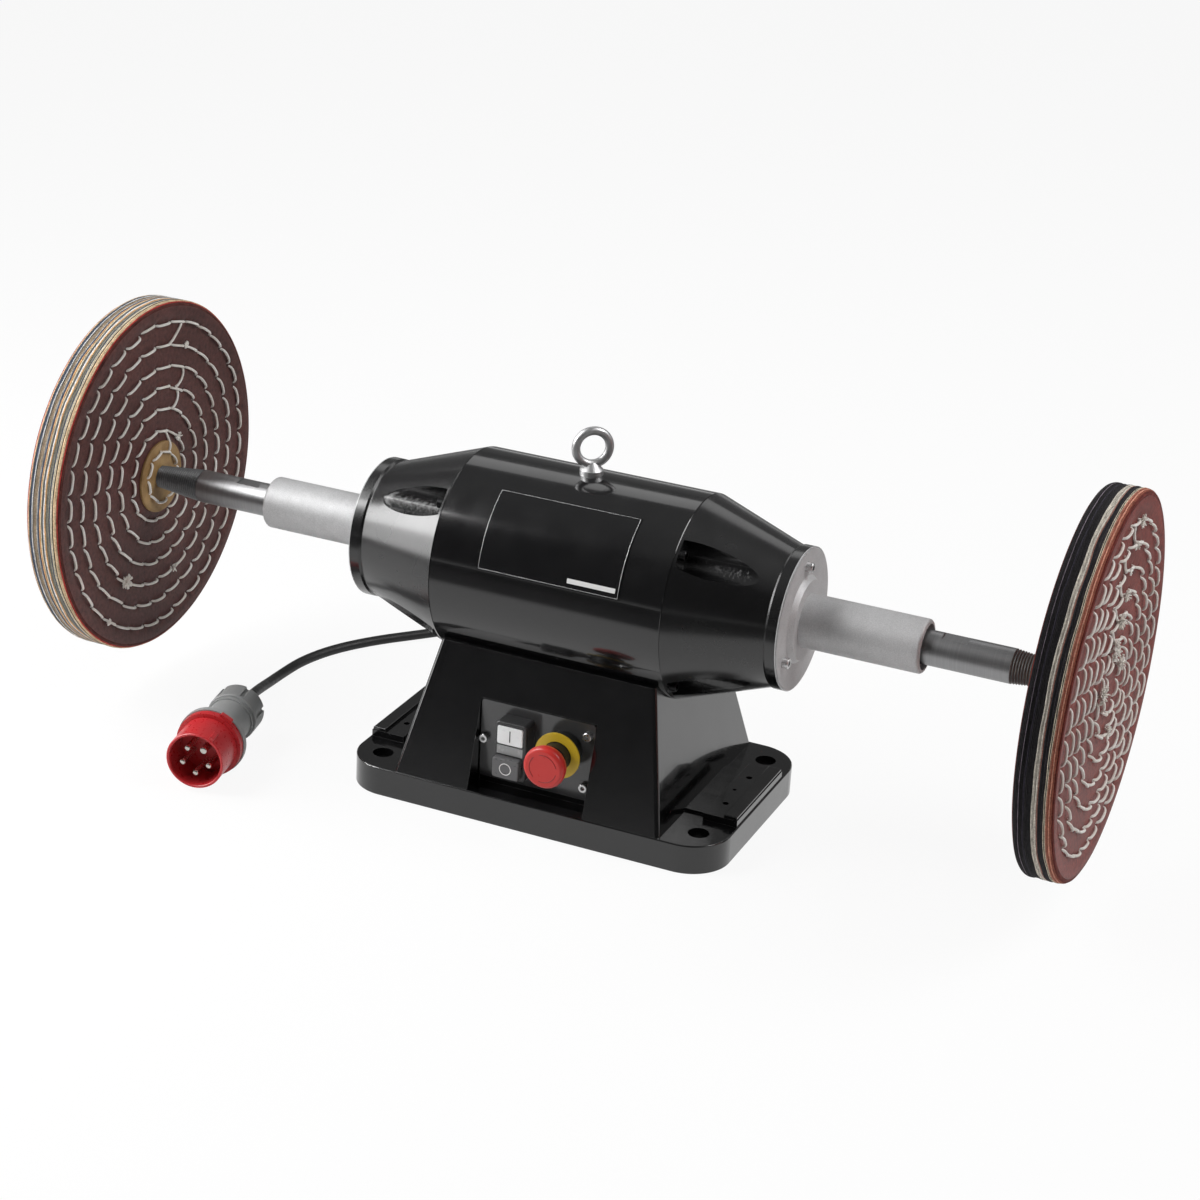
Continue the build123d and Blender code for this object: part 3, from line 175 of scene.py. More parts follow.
inner_route = [
    gland_exit, (-49.5, 158.6, 46), (-49.5, 181.4, 38.6), (-49.5, 215.6, 13.9), (-49.5, 238.4, 6.5),
    (-49.5, 256, 6.5),
]
outer_route = [
    (-120, 323.8, 17.3), (-150, 323.8, 17.3), (-187, 315, 7), (-222, 291, 5), (-251, 260, 5),
    (-282, 223, 5), (-315, 186, 5), (-342, 144, 5), (-356, 101, 5), (-357, 62, 6), (-350, 22, 13),
    (-340, -14, 23), (-328.2, -51.8, 33.2), (-324.8, -69.4, 33.2),
]


def coil_point(turns):
    """Point on the coil after a number of turns: inwards, a turn back over itself, outwards on top."""
    inner_radius = coil_start_radius - coil_step * coil_inward_turns
    past_inner = turns - coil_inward_turns
    past_reverse = past_inner - coil_reverse_turns
    if past_inner <= 0:
        radius = coil_start_radius - coil_step * turns
        climb = 0
    elif past_reverse <= 0:
        share = past_inner / coil_reverse_turns
        radius = inner_radius - coil_step * coil_reverse_turns * share * (1 - share)
        climb = ease(share, 0, 1)
    else:
        radius = inner_radius + coil_step * past_reverse
        climb = 1
    angle = math.tau * turns
    sideways = Vector((math.cos(angle), math.sin(angle), 0))
    return coil_middle + radius * sideways + Vector((0, 0, coil_step * climb))


def add_cord():
    """The whole cord, from the gland at the rear through the coil to the plug."""
    coil_turns = coil_inward_turns + coil_reverse_turns + coil_outward_turns
    coil_count = int(coil_turns * coil_points_per_turn)
    coil = [coil_point(coil_turns * step / coil_count) for step in range(coil_count + 1)]
    route = [Vector(point) * mm for point in [*inner_route, *coil, *outer_route]]
    curve = tube_curve("supply_cord", [route], cord_diameter / 2 * mm, roundness=6, fineness=6)
    cord = add_piece("supply_cord", curve, frame_body)
    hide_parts("cord_inner_run", "cord_coil", "cord_outer_run")
    return cord


cord = add_cord()


# Materials

# Sockets of a Mix node for colours, which share their names with its sockets for numbers
mix_factor, mix_first, mix_second, mix_result = 0, 6, 7, 2


def from_screen(red, green, blue):
    """Linear colour of a screen colour from 0 to 255."""
    shares = (red / 255, green / 255, blue / 255)
    return tuple(s / 12.92 if s <= 0.04045 else ((s + 0.055) / 1.055) ** 2.4 for s in shares)


class Finish:
    """A procedural material: a Principled shader and the texture nodes that feed it."""

    def __init__(self, name, colour, roughness, metallic=0.0, **settings):
        self.material = bpy.data.materials.new(name)
        self.material.use_nodes = True
        self.nodes = self.material.node_tree.nodes
        self.links = self.material.node_tree.links
        self.shader = self.nodes["Principled BSDF"]
        self.shader.inputs["Base Color"].default_value = (*colour, 1)
        self.shader.inputs["Roughness"].default_value = roughness
        self.shader.inputs["Metallic"].default_value = metallic
        for socket, value in settings.items():
            self.shader.inputs[socket.replace("_", " ")].default_value = value
        self.place = self.nodes.new("ShaderNodeTexCoord").outputs["Object"]
        self.normal = None

    def join(self, output, socket):
        """Link an output to a socket, or set the socket to a plain value."""
        if isinstance(output, bpy.types.NodeSocket):
            self.links.new(output, socket)
        else:
            socket.default_value = output

    def stretch(self, x, y, z):
        """Coordinates scaled by a different amount along each axis."""
        mapping = self.nodes.new("ShaderNodeMapping")
        mapping.inputs["Scale"].default_value = (x, y, z)
        self.links.new(self.place, mapping.inputs["Vector"])
        return mapping.outputs["Vector"]

    def noise(self, scale, detail=3.0, place=None):
        """Cloudy noise from 0 to 1, with about that many lumps in a metre."""
        texture = self.nodes.new("ShaderNodeTexNoise")
        texture.inputs["Scale"].default_value = scale
        texture.inputs["Detail"].default_value = detail
        self.links.new(place or self.place, texture.inputs["Vector"])
        return texture.outputs["Fac"]

    def cells(self, scale):
        """Distance to the nearest of many scattered points."""
        texture = self.nodes.new("ShaderNodeTexVoronoi")
        texture.inputs["Scale"].default_value = scale
        self.links.new(self.place, texture.inputs["Vector"])
        return texture.outputs["Distance"]

    def waves(self, direction, scale, distortion=0.0):
        """Straight bands across one axis, with about three bands for each unit of scale in a metre."""
        texture = self.nodes.new("ShaderNodeTexWave")
        texture.bands_direction = direction
        texture.inputs["Scale"].default_value = scale
        texture.inputs["Distortion"].default_value = distortion
        self.links.new(self.place, texture.inputs["Vector"])
        return texture.outputs["Fac"]

    def spread(self, factor, low, high, start=0.3, end=0.7):
        """A number that goes from low to high as the factor goes from start to end."""
        span = self.nodes.new("ShaderNodeMapRange")
        self.links.new(factor, span.inputs["Value"])
        for socket, value in zip(("From Min", "From Max", "To Min", "To Max"), (start, end, low, high)):
            span.inputs[socket].default_value = value
        return span.outputs["Result"]

    def blend(self, factor, first, second, kind="MIX"):
        """Colour mixed from two colours by a factor."""
        mixer = self.nodes.new("ShaderNodeMix")
        mixer.data_type = "RGBA"
        mixer.blend_type = kind
        self.join(factor, mixer.inputs[mix_factor])
        for value, socket in ((first, mixer.inputs[mix_first]), (second, mixer.inputs[mix_second])):
            self.join(value if isinstance(value, bpy.types.NodeSocket) else (*value, 1), socket)
        return mixer.outputs[mix_result]

    def math(self, operation, first, second):
        """One sum on two numbers, or on the first."""
        step = self.nodes.new("ShaderNodeMath")
        step.operation = operation
        self.join(first, step.inputs[0])
        self.join(second, step.inputs[1])
        return step.outputs[0]

    def part_of(self, axis):
        """One coordinate of the place on the surface, in metres."""
        split = self.nodes.new("ShaderNodeSeparateXYZ")
        self.links.new(self.place, split.inputs[0])
        return split.outputs[axis]

    def stored(self, name):
        """Colour stored on the mesh under a name."""
        attribute = self.nodes.new("ShaderNodeAttribute")
        attribute.attribute_name = name
        return attribute.outputs["Color"]

    def edges(self, width):
        """1 on edges and 0 elsewhere, from the turn of the surface within a width."""
        rounded = self.nodes.new("ShaderNodeBevel")
        rounded.samples = 6
        rounded.inputs["Radius"].default_value = width
        flat = self.nodes.new("ShaderNodeNewGeometry")
        turn = self.nodes.new("ShaderNodeVectorMath")
        turn.operation = "DOT_PRODUCT"
        self.links.new(rounded.outputs["Normal"], turn.inputs[0])
        self.links.new(flat.outputs["Normal"], turn.inputs[1])
        return self.spread(turn.outputs["Value"], 1.0, 0.0, start=0.8, end=0.97)

    def feed(self, socket, output):
        """Link an output to one of the shader's sockets."""
        self.links.new(output, self.shader.inputs[socket])

    def bump(self, height, distance):
        """Raise the surface by up to a distance in metres, on top of earlier bumps."""
        relief = self.nodes.new("ShaderNodeBump")
        relief.inputs["Strength"].default_value = 1
        relief.inputs["Distance"].default_value = distance
        self.links.new(height, relief.inputs["Height"])
        if self.normal is not None:
            self.links.new(self.normal, relief.inputs["Normal"])
        self.normal = relief.outputs["Normal"]
        self.feed("Normal", self.normal)


def black_paint(name, coat_roughness, least, most):
    """Start of a gloss black paint with faint orange peel under a clear coat, and its cloudy colour."""
    finish = Finish(name, (0.004, 0.004, 0.0045), 0.16, Coat_Weight=1.0, Coat_Roughness=coat_roughness)
    cloud = finish.noise(25, 4)
    finish.feed("Roughness", finish.spread(cloud, least, most))
    finish.bump(finish.noise(300, 2), 0.012 * mm)
    return finish, finish.blend(cloud, (0.003, 0.003, 0.0034), (0.006, 0.006, 0.0064))


def gloss_black():
    """Gloss black paint of the motor's tube."""
    finish, paint = black_paint("gloss_black", 0.07, 0.12, 0.22)
    finish.feed("Base Color", paint)
    return finish.material


def bell_black():
    """Gloss black paint of the end bells, rough in the cast pockets and silver round the flange's edge."""
    lip_start, lip_fade = 212.7 * mm, 0.2 * mm
    cone_start, cone_end = 114.5 * mm, 201.5 * mm
    cone_start_radius, cone_end_radius = 96 * mm, 65.4 * mm
    pocket_start, pocket_full = 0.8 * mm, 2.5 * mm
    slope = (cone_start_radius - cone_end_radius) / (cone_end - cone_start)
    finish, paint = black_paint("bell_black", 0.17, 0.2, 0.3)
    along = finish.math("ABSOLUTE", finish.part_of(0), 0.0)
    across = finish.part_of(1)
    up = finish.math("SUBTRACT", finish.part_of(2), spindle_height)
    square = finish.math("ADD", finish.math("MULTIPLY", across, across), finish.math("MULTIPLY", up, up))
    reach = finish.math("SQRT", square, 0.0)
    fall = finish.math("MULTIPLY", along, slope)
    cone = finish.math("SUBTRACT", cone_start_radius + slope * cone_start, fall)
    depth = finish.math("SUBTRACT", cone, reach)
    pocket = finish.spread(depth, 0.0, 1.0, start=pocket_start, end=pocket_full)
    on_lip = finish.spread(along, 0.0, 1.0, start=lip_start, end=lip_start + lip_fade)
    finish.feed("Base Color", finish.blend(on_lip, paint, (0.5, 0.5, 0.505)))
    finish.bump(finish.math("MULTIPLY", finish.noise(280, 4), pocket), 0.9 * mm)
    return finish.material


def printed_plate():
    """Smooth black plate, a little uneven in its gloss."""
    finish = Finish("plate_black", (0.006, 0.006, 0.0065), 0.13, Coat_Weight=0.5, Coat_Roughness=0.08)
    cloud = finish.noise(40, 3)
    finish.feed("Base Color", finish.blend(cloud, (0.005, 0.005, 0.0055), (0.008, 0.008, 0.0085)))
    finish.feed("Roughness", finish.spread(cloud, 0.11, 0.17))
    return finish.material


def cast_black():
    """Gloss black paint on a casting that shows its fine sand grain, light grey along its edges: partly
    paint rubbed thin, partly a painted highlight.
    """
    finish = Finish("cast_black", (0.004, 0.004, 0.0045), 0.15, Coat_Weight=1.0, Coat_Roughness=0.05)
    paint = finish.blend(finish.noise(30, 5), (0.0025, 0.0025, 0.0028), (0.0065, 0.0065, 0.007))
    # Light grey on the edges: partly rubbed paint, partly painted highlight
    edge_wear_and_highlight = finish.math("MULTIPLY", finish.edges(0.7 * mm), finish.spread(finish.noise(160, 4), 0.0, 0.9))
    finish.feed("Base Color", finish.blend(edge_wear_and_highlight, paint, (0.16, 0.16, 0.16)))
    finish.feed("Roughness", finish.spread(finish.noise(45, 4), 0.1, 0.22))
    finish.bump(finish.noise(520, 3), 0.045 * mm)
    finish.bump(finish.noise(70, 2), 0.12 * mm)
    return finish.material


def silver_paint():
    """Silver paint with a sandy grain and faint turning lines round the spindle."""
    finish = Finish("silver_paint", (0.6, 0.6, 0.605), 0.58, metallic=0.5)
    grain = finish.spread(finish.noise(1100, 3), 0.0, 1.0)
    sand = finish.blend(grain, (0.5, 0.5, 0.505), (0.64, 0.64, 0.645))
    cloud = finish.spread(finish.noise(90, 4), 0.95, 1.03)
    finish.feed("Base Color", finish.blend(1.0, sand, cloud, "MULTIPLY"))
    finish.feed("Roughness", finish.spread(finish.noise(1.0, 2, finish.stretch(1400, 30, 30)), 0.52, 0.64))
    finish.bump(finish.noise(1300, 2), 0.06 * mm)
    return finish.material


def turned_steel():
    """Ground steel with faint turning lines, darker and duller on the threads."""
    thread_start, thread_fade = 411 * mm, 1 * mm
    finish = Finish("turned_steel", (0.33, 0.33, 0.335), 0.38, metallic=1.0)
    lines = finish.noise(1.0, 3, finish.stretch(2400, 12, 12))
    bare = finish.blend(finish.spread(lines, 0.0, 1.0), (0.33, 0.33, 0.335), (0.43, 0.43, 0.435))
    along = finish.math("ABSOLUTE", finish.part_of(0), 0.0)
    on_thread = finish.spread(along, 0.0, 1.0, start=thread_start, end=thread_start + thread_fade)
    smudge = finish.blend(finish.noise(240, 3), (0.09, 0.09, 0.091), (0.17, 0.17, 0.172))
    finish.feed("Base Color", finish.blend(on_thread, bare, smudge))
    finish.feed("Metallic", finish.spread(on_thread, 1.0, 0.45, start=0.0, end=1.0))
    finish.feed("Roughness", finish.spread(lines, 0.34, 0.43))
    finish.bump(lines, 0.004 * mm)
    return finish.material


def plated_steel(name, colour, roughness, grain=700):
    """Plated or polished metal with faint stains and a fine grain."""
    finish = Finish(name, colour, roughness, metallic=1.0)
    stain = finish.spread(finish.noise(grain / 6, 4), 0.0, 1.0)
    darker = tuple(0.82 * share for share in colour)
    finish.feed("Base Color", finish.blend(stain, colour, darker))
    finish.feed("Roughness", finish.spread(finish.noise(grain, 3), 0.75 * roughness, 1.5 * roughness))
    finish.bump(finish.noise(2 * grain, 2), 0.01 * mm)
    return finish.material


def core_steel():
    """Stacked sheets, seen as fine lines across the spindle."""
    finish = Finish("core_steel", (0.3, 0.3, 0.32), 0.4, metallic=1.0)
    sheets = finish.waves("X", 640)
    finish.feed("Base Color", finish.blend(sheets, (0.18, 0.18, 0.2), (0.38, 0.38, 0.4)))
    finish.bump(sheets, 0.05 * mm)
    return finish.material


def copper_wire():
    """Varnished copper wire, wound round the spindle."""
    finish = Finish("copper_wire", (0.6, 0.25, 0.1), 0.3, metallic=0.9, Coat_Weight=0.6)
    strands = finish.waves("X", 300, 1.5)
    finish.feed("Base Color", finish.blend(strands, (0.3, 0.1, 0.03), (0.68, 0.3, 0.12)))
    finish.bump(strands, 0.3 * mm)
    return finish.material


def moulded(name, colour, roughness, depth=0.03, variety=0.12, **settings):
    """Moulded plastic with a fine texture and slight changes of colour."""
    finish = Finish(name, colour, roughness, **settings)
    darker = tuple((1 - variety) * share for share in colour)
    lighter = tuple((1 + variety) * share for share in colour)
    finish.feed("Base Color", finish.blend(finish.noise(70, 4), darker, lighter))
    finish.feed("Roughness", finish.spread(finish.noise(300, 3), 0.85 * roughness, 1.2 * roughness))
    finish.bump(finish.noise(1500, 2), depth * mm)
    return finish.material


def cord_rubber():
    """Rubber sheath with a fine grain and a faint bloom."""
    finish = Finish("cord_rubber", (0.007, 0.007, 0.0075), 0.45)
    bloom = finish.spread(finish.noise(90, 4), 0.0, 1.0)
    finish.feed("Base Color", finish.blend(bloom, (0.005, 0.005, 0.0055), (0.011, 0.011, 0.0115)))
    finish.feed("Roughness", finish.spread(finish.noise(200, 3), 0.4, 0.55))
    finish.bump(finish.noise(1400, 2), 0.12 * mm)
    return finish.material


def buff_face():
    """Stiffened cloth of the buff's faces: a close weave, rubbed and dusty in patches, darkened at the
    needle holes by painted shade in its stored tint.
    """
    finish = Finish("buff_face", (0.06, 0.025, 0.024), 0.52, Sheen_Weight=0.05, Specular_IOR_Level=0.38)
    weave = finish.math("MULTIPLY", finish.waves("Y", 330, 1.0), finish.waves("Z", 330, 1.0))
    fleck = finish.spread(finish.noise(260, 6), 0.62, 1.45)
    patch = finish.spread(finish.noise(14, 5), 0.85, 1.2)
    level = finish.math("MULTIPLY", fleck, patch)
    finish.feed("Base Color", finish.blend(1.0, finish.stored("tint"), level, "MULTIPLY"))
    finish.bump(weave, 0.12 * mm)
    finish.bump(finish.noise(500, 4), 0.15 * mm)
    return finish.material


def buff_rim():
    """Cut edges of the plies, with fibres round the rim."""
    finish = Finish("buff_rim", (0.4, 0.35, 0.3), 0.95, Sheen_Weight=0.05, Specular_IOR_Level=0.15)
    fibres = finish.noise(1.0, 4, finish.stretch(2400, 90, 90))
    fluff = finish.noise(650, 4)
    level = finish.math("MULTIPLY", finish.spread(fibres, 0.5, 1.45), finish.spread(fluff, 0.72, 1.25))
    finish.feed("Base Color", finish.blend(1.0, finish.stored("tint"), level, "MULTIPLY"))
    finish.bump(fibres, 0.25 * mm)
    finish.bump(fluff, 0.3 * mm)
    return finish.material


def stitch_thread():
    """Thick cotton thread, fuzzy and a little dirty."""
    finish = Finish("stitch_thread", (0.7, 0.66, 0.6), 0.9, Sheen_Weight=0.2)
    dirt = finish.spread(finish.noise(60, 4), 0.0, 1.0)
    finish.feed("Base Color", finish.blend(dirt, (0.9, 0.88, 0.84), (0.74, 0.68, 0.61)))
    finish.bump(finish.noise(1500, 3), 0.3 * mm)
    return finish.material


def tan_leather():
    """Tan leather with grain and stains."""
    finish = Finish("tan_leather", (0.36, 0.21, 0.075), 0.6)
    stain = finish.spread(finish.noise(70, 5), 0.0, 1.0)
    finish.feed("Base Color", finish.blend(stain, (0.24, 0.13, 0.045), (0.46, 0.29, 0.12)))
    finish.bump(finish.cells(900), 0.2 * mm)
    finish.bump(finish.noise(120, 4), 0.4 * mm)
    return finish.material


# Buffs: sewn cloth plies, with every ply's cut edge on the rim and rings of thick stitches on the faces

buff_segments = 432
face_ring_step = 2.5 * mm
ply_thickness = 1.25 * mm
ply_groove = 0.9 * mm
bore_mouth_radius = 11.6 * mm
bore_end_radius = 9 * mm
bore_depth = 24.6 * mm
washer_thickness = 3 * mm
washer_radius = 36 * mm
# Rings of stitches from the rim inwards, as the radius in millimetres and the number of stitches
seams = {
    "left": ((154, 36), (132, 31), (110, 26), (89, 22), (67.5, 17), (45.5, 14), (26, 9)),
    "right": ((149, 34), (128, 30), (107, 25), (86, 21), (65, 16), (44, 13), (24, 8)),
}
needle_depth = 4.2 * mm
thread_radius = 1.3 * mm
# Middle of a loop of thread above the cloth, and how much it differs from stitch to stitch
stitch_height = 2.3 * mm
stitch_height_shares = (0.7, 1.25)
stitch_drift = 1.1 * mm
stitch_sway = 0.8 * mm
# Shape of a stitch: shares of its length, with the height there as a share of its full height
stitch_bow = (
    (0.055, 0), (0.085, 0.4), (0.15, 0.85), (0.3, 1.02), (0.5, 1.05), (0.7, 1.02), (0.85, 0.85),
    (0.915, 0.4), (0.945, 0),
)
# Threads between rings of stitches, as the outer ring's number, both ends' angles and the bow, in degrees
inner_links = ((0, 17, 10, 1), (2, 25, 22, 3), (3, 23, 23, 4), (5, 17, 28, 2))
outer_links = ((0, 4, 10, -3), (1, -6, 1, -3), (2, -10, -2, -3), (3, -16, -6, -3), (4, -20, -8, -4))
link_shares = (0, 0.1, 0.35, 0.65, 0.9, 1)
link_lift = 0.9 * thread_radius
# Knots, as the ring's number, the angle, the size in millimetres and the number of fibres
inner_tufts = ((1, 22, 4.5, 36), (2, 215, 9, 110), (0, 218, 4, 34), (2, 167, 6, 10), (5, 46, 6, 40))
outer_tufts = (
    (0, 10, 7, 90), (1, 8, 5, 50), (2, 4, 4, 30), (3, 2, 6, 60), (4, -4, 8, 110), (5, -20, 10, 140),
    (6, 40, 8, 90), (5, -76, 10, 130), (5, 175, 7, 80),
)
fibre_radius = 0.55 * mm
fibre_rise = (0.1, 0.4)
fibre_reach = (0.5, 1)
fibre_bend = 0.25
fibre_bend_rise = 0.5
# How wide the cloth is drawn in along a ring of stitches, how deep, and how much deeper at a needle hole
pucker_width = 2.8 * mm
pucker_depth = 0.3 * mm
pit_depth = 1.6 * mm
pit_sharpness = 8
# Painted shade round a needle hole, where the cloth is drawn in: its width, sharpness and strength
painted_shade_width = 2 * mm
painted_shade_sharpness = 14
painted_shade_strength = 0.85
# Widths within which a ring of stitches counts
seam_reach = 2.5
# The sewn part of a face lies below the loose cloth at the rim, and flat round a washer
dish_depth = 2.2 * mm
sewn_radius = 152 * mm
loose_radius = 165 * mm
washer_flat = 2 * mm
washer_slope_end = 9 * mm
# Rounding of the rim at the inner and the outer face: how far along it and how far inwards, in millimetres
rim_rounds = {"left": ((4, 5), (4, 5)), "right": ((4, 5), (4, 6))}
rim_margin = 1 * mm
# Section of a ply's cut edge, as shares of its thickness, with a shallow crown between two grooves
ply_section = (0.04, 0.22, 0.78, 0.96)
ply_crown = 0.17
groove_shares = (0.5, 1)
ply_shades = (0.72, 1.15)
ply_setback = 0.7 * mm
# Unevenness of the rim: its depth, the length of its waves across the rim and their scale round it
rim_wave, rim_wave_length, rim_wave_scale = 0.45 * mm, 4 * mm, 3
rim_drift, rim_drift_length, rim_drift_scale = 1.3 * mm, 9 * mm, 5

cloth_colours = {
    "red": from_screen(176, 66, 60),
    "pink": from_screen(224, 146, 128),
    "tan": from_screen(208, 184, 150),
    "shadow": from_screen(48, 42, 40),
    "cream": from_screen(224, 212, 188),
    "olive": from_screen(126, 124, 114),
    "orange": from_screen(204, 160, 114),
    "white": from_screen(226, 226, 224),
    "slate": from_screen(86, 94, 110),
    "brown": from_screen(166, 148, 126),
    "black": from_screen(39, 37, 39),
    "charcoal": from_screen(52, 50, 53),
    "indigo": from_screen(54, 51, 60),
    "mauve": from_screen(150, 138, 150),
    "stone": from_screen(212, 205, 193),
    "rose": from_screen(160, 116, 104),
    "salmon": from_screen(212, 150, 128),
    "copper": from_screen(164, 96, 78),
    "maroon": from_screen(112, 50, 44),
    "umber": from_screen(82, 46, 42),
}
# Bands of cloth from the inner to the outer face, with each one's share of the width
buff_bands = {
    "left": (
        ("umber", 1.2), ("red", 0.9), ("tan", 3.6), ("shadow", 0.6), ("cream", 2.6), ("slate", 0.7),
        ("olive", 3.6), ("orange", 1.6), ("white", 1.2), ("slate", 0.6), ("olive", 1.4), ("cream", 1.0),
        ("orange", 1.8), ("slate", 1.8), ("white", 0.7), ("brown", 3.4), ("shadow", 0.5), ("white", 1.0),
        ("slate", 2.6), ("tan", 1.2), ("pink", 1.6), ("red", 0.6), ("umber", 0.8),
    ),
    "right": (
        ("maroon", 1.3), ("black", 4.4), ("mauve", 0.7), ("black", 3.2), ("indigo", 1.4), ("black", 6.6),
        ("stone", 4.2), ("rose", 1.2), ("charcoal", 5.0), ("cream", 0.6), ("charcoal", 0.7), ("cream", 0.6),
        ("salmon", 1.3), ("copper", 1.2), ("salmon", 1.2), ("copper", 1.6), ("maroon", 1.6),
    ),
}
buff_face_colours = {"left": from_screen(82, 46, 42), "right": from_screen(122, 53, 45)}


def dish(radius, has_washer):
    """How far a face lies below its loose edge; under a leather washer it stays flat."""
    depth = dish_depth * (1 - ease(radius, sewn_radius, loose_radius))
    if has_washer:
        depth *= ease(radius, washer_radius + washer_flat, washer_radius + washer_slope_end)
    return depth


def near_seams(side_name, radius, angle, width, sharpness):
    """For each ring of stitches close to a radius, how near it is and how near its needle hole is."""
    for seam, count in seams[side_name]:
        away = (radius - seam * mm) / width
        if abs(away) < seam_reach:
            needle = 0.5 + 0.5 * math.cos(count * angle)
            yield math.exp(-away * away), needle**sharpness


def pucker(side_name, radius, angle):
    """How far the stitches draw the cloth in, deepest where the needle went through."""
    close = near_seams(side_name, radius, angle, pucker_width, pit_sharpness)
    return sum(ring * (pucker_depth + pit_depth * needle) for ring, needle in close)


def painted_hole_shade(side_name, radius, angle):
    """Share of the cloth's colour left by the painted shade in the needle holes."""
    close = near_seams(side_name, radius, angle, painted_shade_width, painted_shade_sharpness)
    return 1 - painted_shade_strength * max((ring * needle for ring, needle in close), default=0)


def rim_drop(along, width, rounds):
    """How far the rim falls away towards the spindle near a face."""
    drop = 0
    for gap, (reach, fall) in zip((along, width - along), rounds):
        share = max(0, 1 - gap / (reach * mm))
        drop += fall * mm * (1 - math.sqrt(1 - share * share))
    return drop


def buff_rings(side_name, width, rim_radius):
    """Rings of the buff's section, from the end of its bore round the rim to the outer middle.
    Each is a place along the width, a radius, a colour and whether it is on the rim."""
    cloth = buff_face_colours[side_name]
    dice = random.Random(side_name)
    rings = [(bore_depth, 0, cloth, False), (bore_depth, bore_end_radius, cloth, False)]
    rounds = rim_rounds[side_name]
    inner_edge, outer_edge = (rim_radius - fall * mm - rim_margin for reach, fall in rounds)
    for step in range(int((inner_edge - bore_mouth_radius) / face_ring_step) + 1):
        rings.append((0, bore_mouth_radius + step * face_ring_step, cloth, False))
    share_sum = sum(share for colour, share in buff_bands[side_name])
    start = 0
    for colour, share in buff_bands[side_name]:
        band = width * share / share_sum
        plies = max(1, round(band / ply_thickness))
        for ply in range(plies):
            ply_start = start + band * ply / plies
            ply_width = band / plies
            shade = dice.uniform(*ply_shades)
            tint = tuple(shade * part for part in cloth_colours[colour])
            edge = rim_radius - dice.uniform(0, ply_setback)
            first, last = dice.uniform(*groove_shares), dice.uniform(*groove_shares)
            for share, groove in zip(ply_section, (first, ply_crown, ply_crown, last)):
                along = ply_start + share * ply_width
                reach = edge - groove * ply_groove - rim_drop(along, width, rounds)
                rings.append((along, reach, tint, True))
        start += band
    for step in reversed(range(1, int(outer_edge / face_ring_step) + 1)):
        rings.append((width, step * face_ring_step, cloth, False))
    rings.append((width, 0, cloth, False))
    return rings


def add_buff(side_name):
    """Cloth wheel on one end of the spindle, in place of its plain solid."""
    side = side_signs[side_name]
    low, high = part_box(f"{side_name}_buff_wheel")
    width = high.x - low.x
    inner_face = min(abs(low.x), abs(high.x))
    rim_radius = (high.z - low.z) / 2
    rings = buff_rings(side_name, width, rim_radius)
    points = []
    tints = []
    for along, radius, tint, on_rim in rings:
        for step in range(buff_segments if radius else 1):
            angle = math.tau * step / buff_segments
            around = Vector((math.cos(angle), math.sin(angle), 0))
            place = along
            reach = radius
            shade = 1
            if on_rim:
                wave = noise.noise(around * rim_wave_scale + Vector((0, 0, along / rim_wave_length)))
                drift = noise.noise(around * rim_drift_scale + Vector((0, 0, along / rim_drift_length)))
                place += rim_drift * drift * math.sin(math.pi * along / width)
                reach += rim_wave * wave
            elif along in (0, width):
                sunk = pucker(side_name, radius, angle) + dish(radius, along == 0)
                place += sunk if along == 0 else -sunk
                # Painted shade: the cloth's colour is darkened at the needle holes
                shade = painted_hole_shade(side_name, radius, angle)
            points.append(spindle_point(side * (inner_face + place), reach, angle))
            tints.append((*(shade * part for part in tint), 1))
    radii = [ring[1] for ring in rings]
    mesh = closed_mesh(f"{side_name}_buff", points, turned_faces(radii, buff_segments))
    # The stored tint holds the cloth's colour and the painted shade at the needle holes
    stored = mesh.color_attributes.new("tint", "FLOAT_COLOR", "POINT")
    for index, tint in enumerate(tints):
        stored.data[index].color = tint
    mesh.materials.append(materials["buff_face"])
    mesh.materials.append(materials["buff_rim"])
    for index, face in enumerate(mesh.polygons):
        band = index // buff_segments
        face.material_index = int(rings[band][3] and rings[band + 1][3])
        face.use_smooth = True
    buff = add_piece(f"{side_name}_buff", mesh, spindle_body)
    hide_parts(f"{side_name}_buff_wheel")
    return inner_face, inner_face + width


def stitch(face, outward, radius, start, end, height, dice):
    """Points of one loop of thread, from needle hole to needle hole over a face at x."""
    sway = dice.uniform(-stitch_sway, stitch_sway)
    points = []
    for share, rise in stitch_bow:
        angle = start + (end - start) * share
        lift = (height + needle_depth) * rise - needle_depth
        points.append(spindle_point(face + outward * lift, radius + sway * rise, angle))
    return points


def tuft(middle, outward, size, count, dice):
    """Short loose fibres that stick out of a knot."""
    fibres = []
    for fibre in range(count):
        aim = Vector((outward * dice.uniform(*fibre_rise), dice.uniform(-1, 1), dice.uniform(-1, 1)))
        reach = aim.normalized() * size * dice.uniform(*fibre_reach)
        bend = Vector((outward * fibre_bend_rise, dice.uniform(-1, 1), dice.uniform(-1, 1)))
        fibres.append([middle, middle + reach * 0.5 + bend * size * fibre_bend, middle + reach])
    return fibres


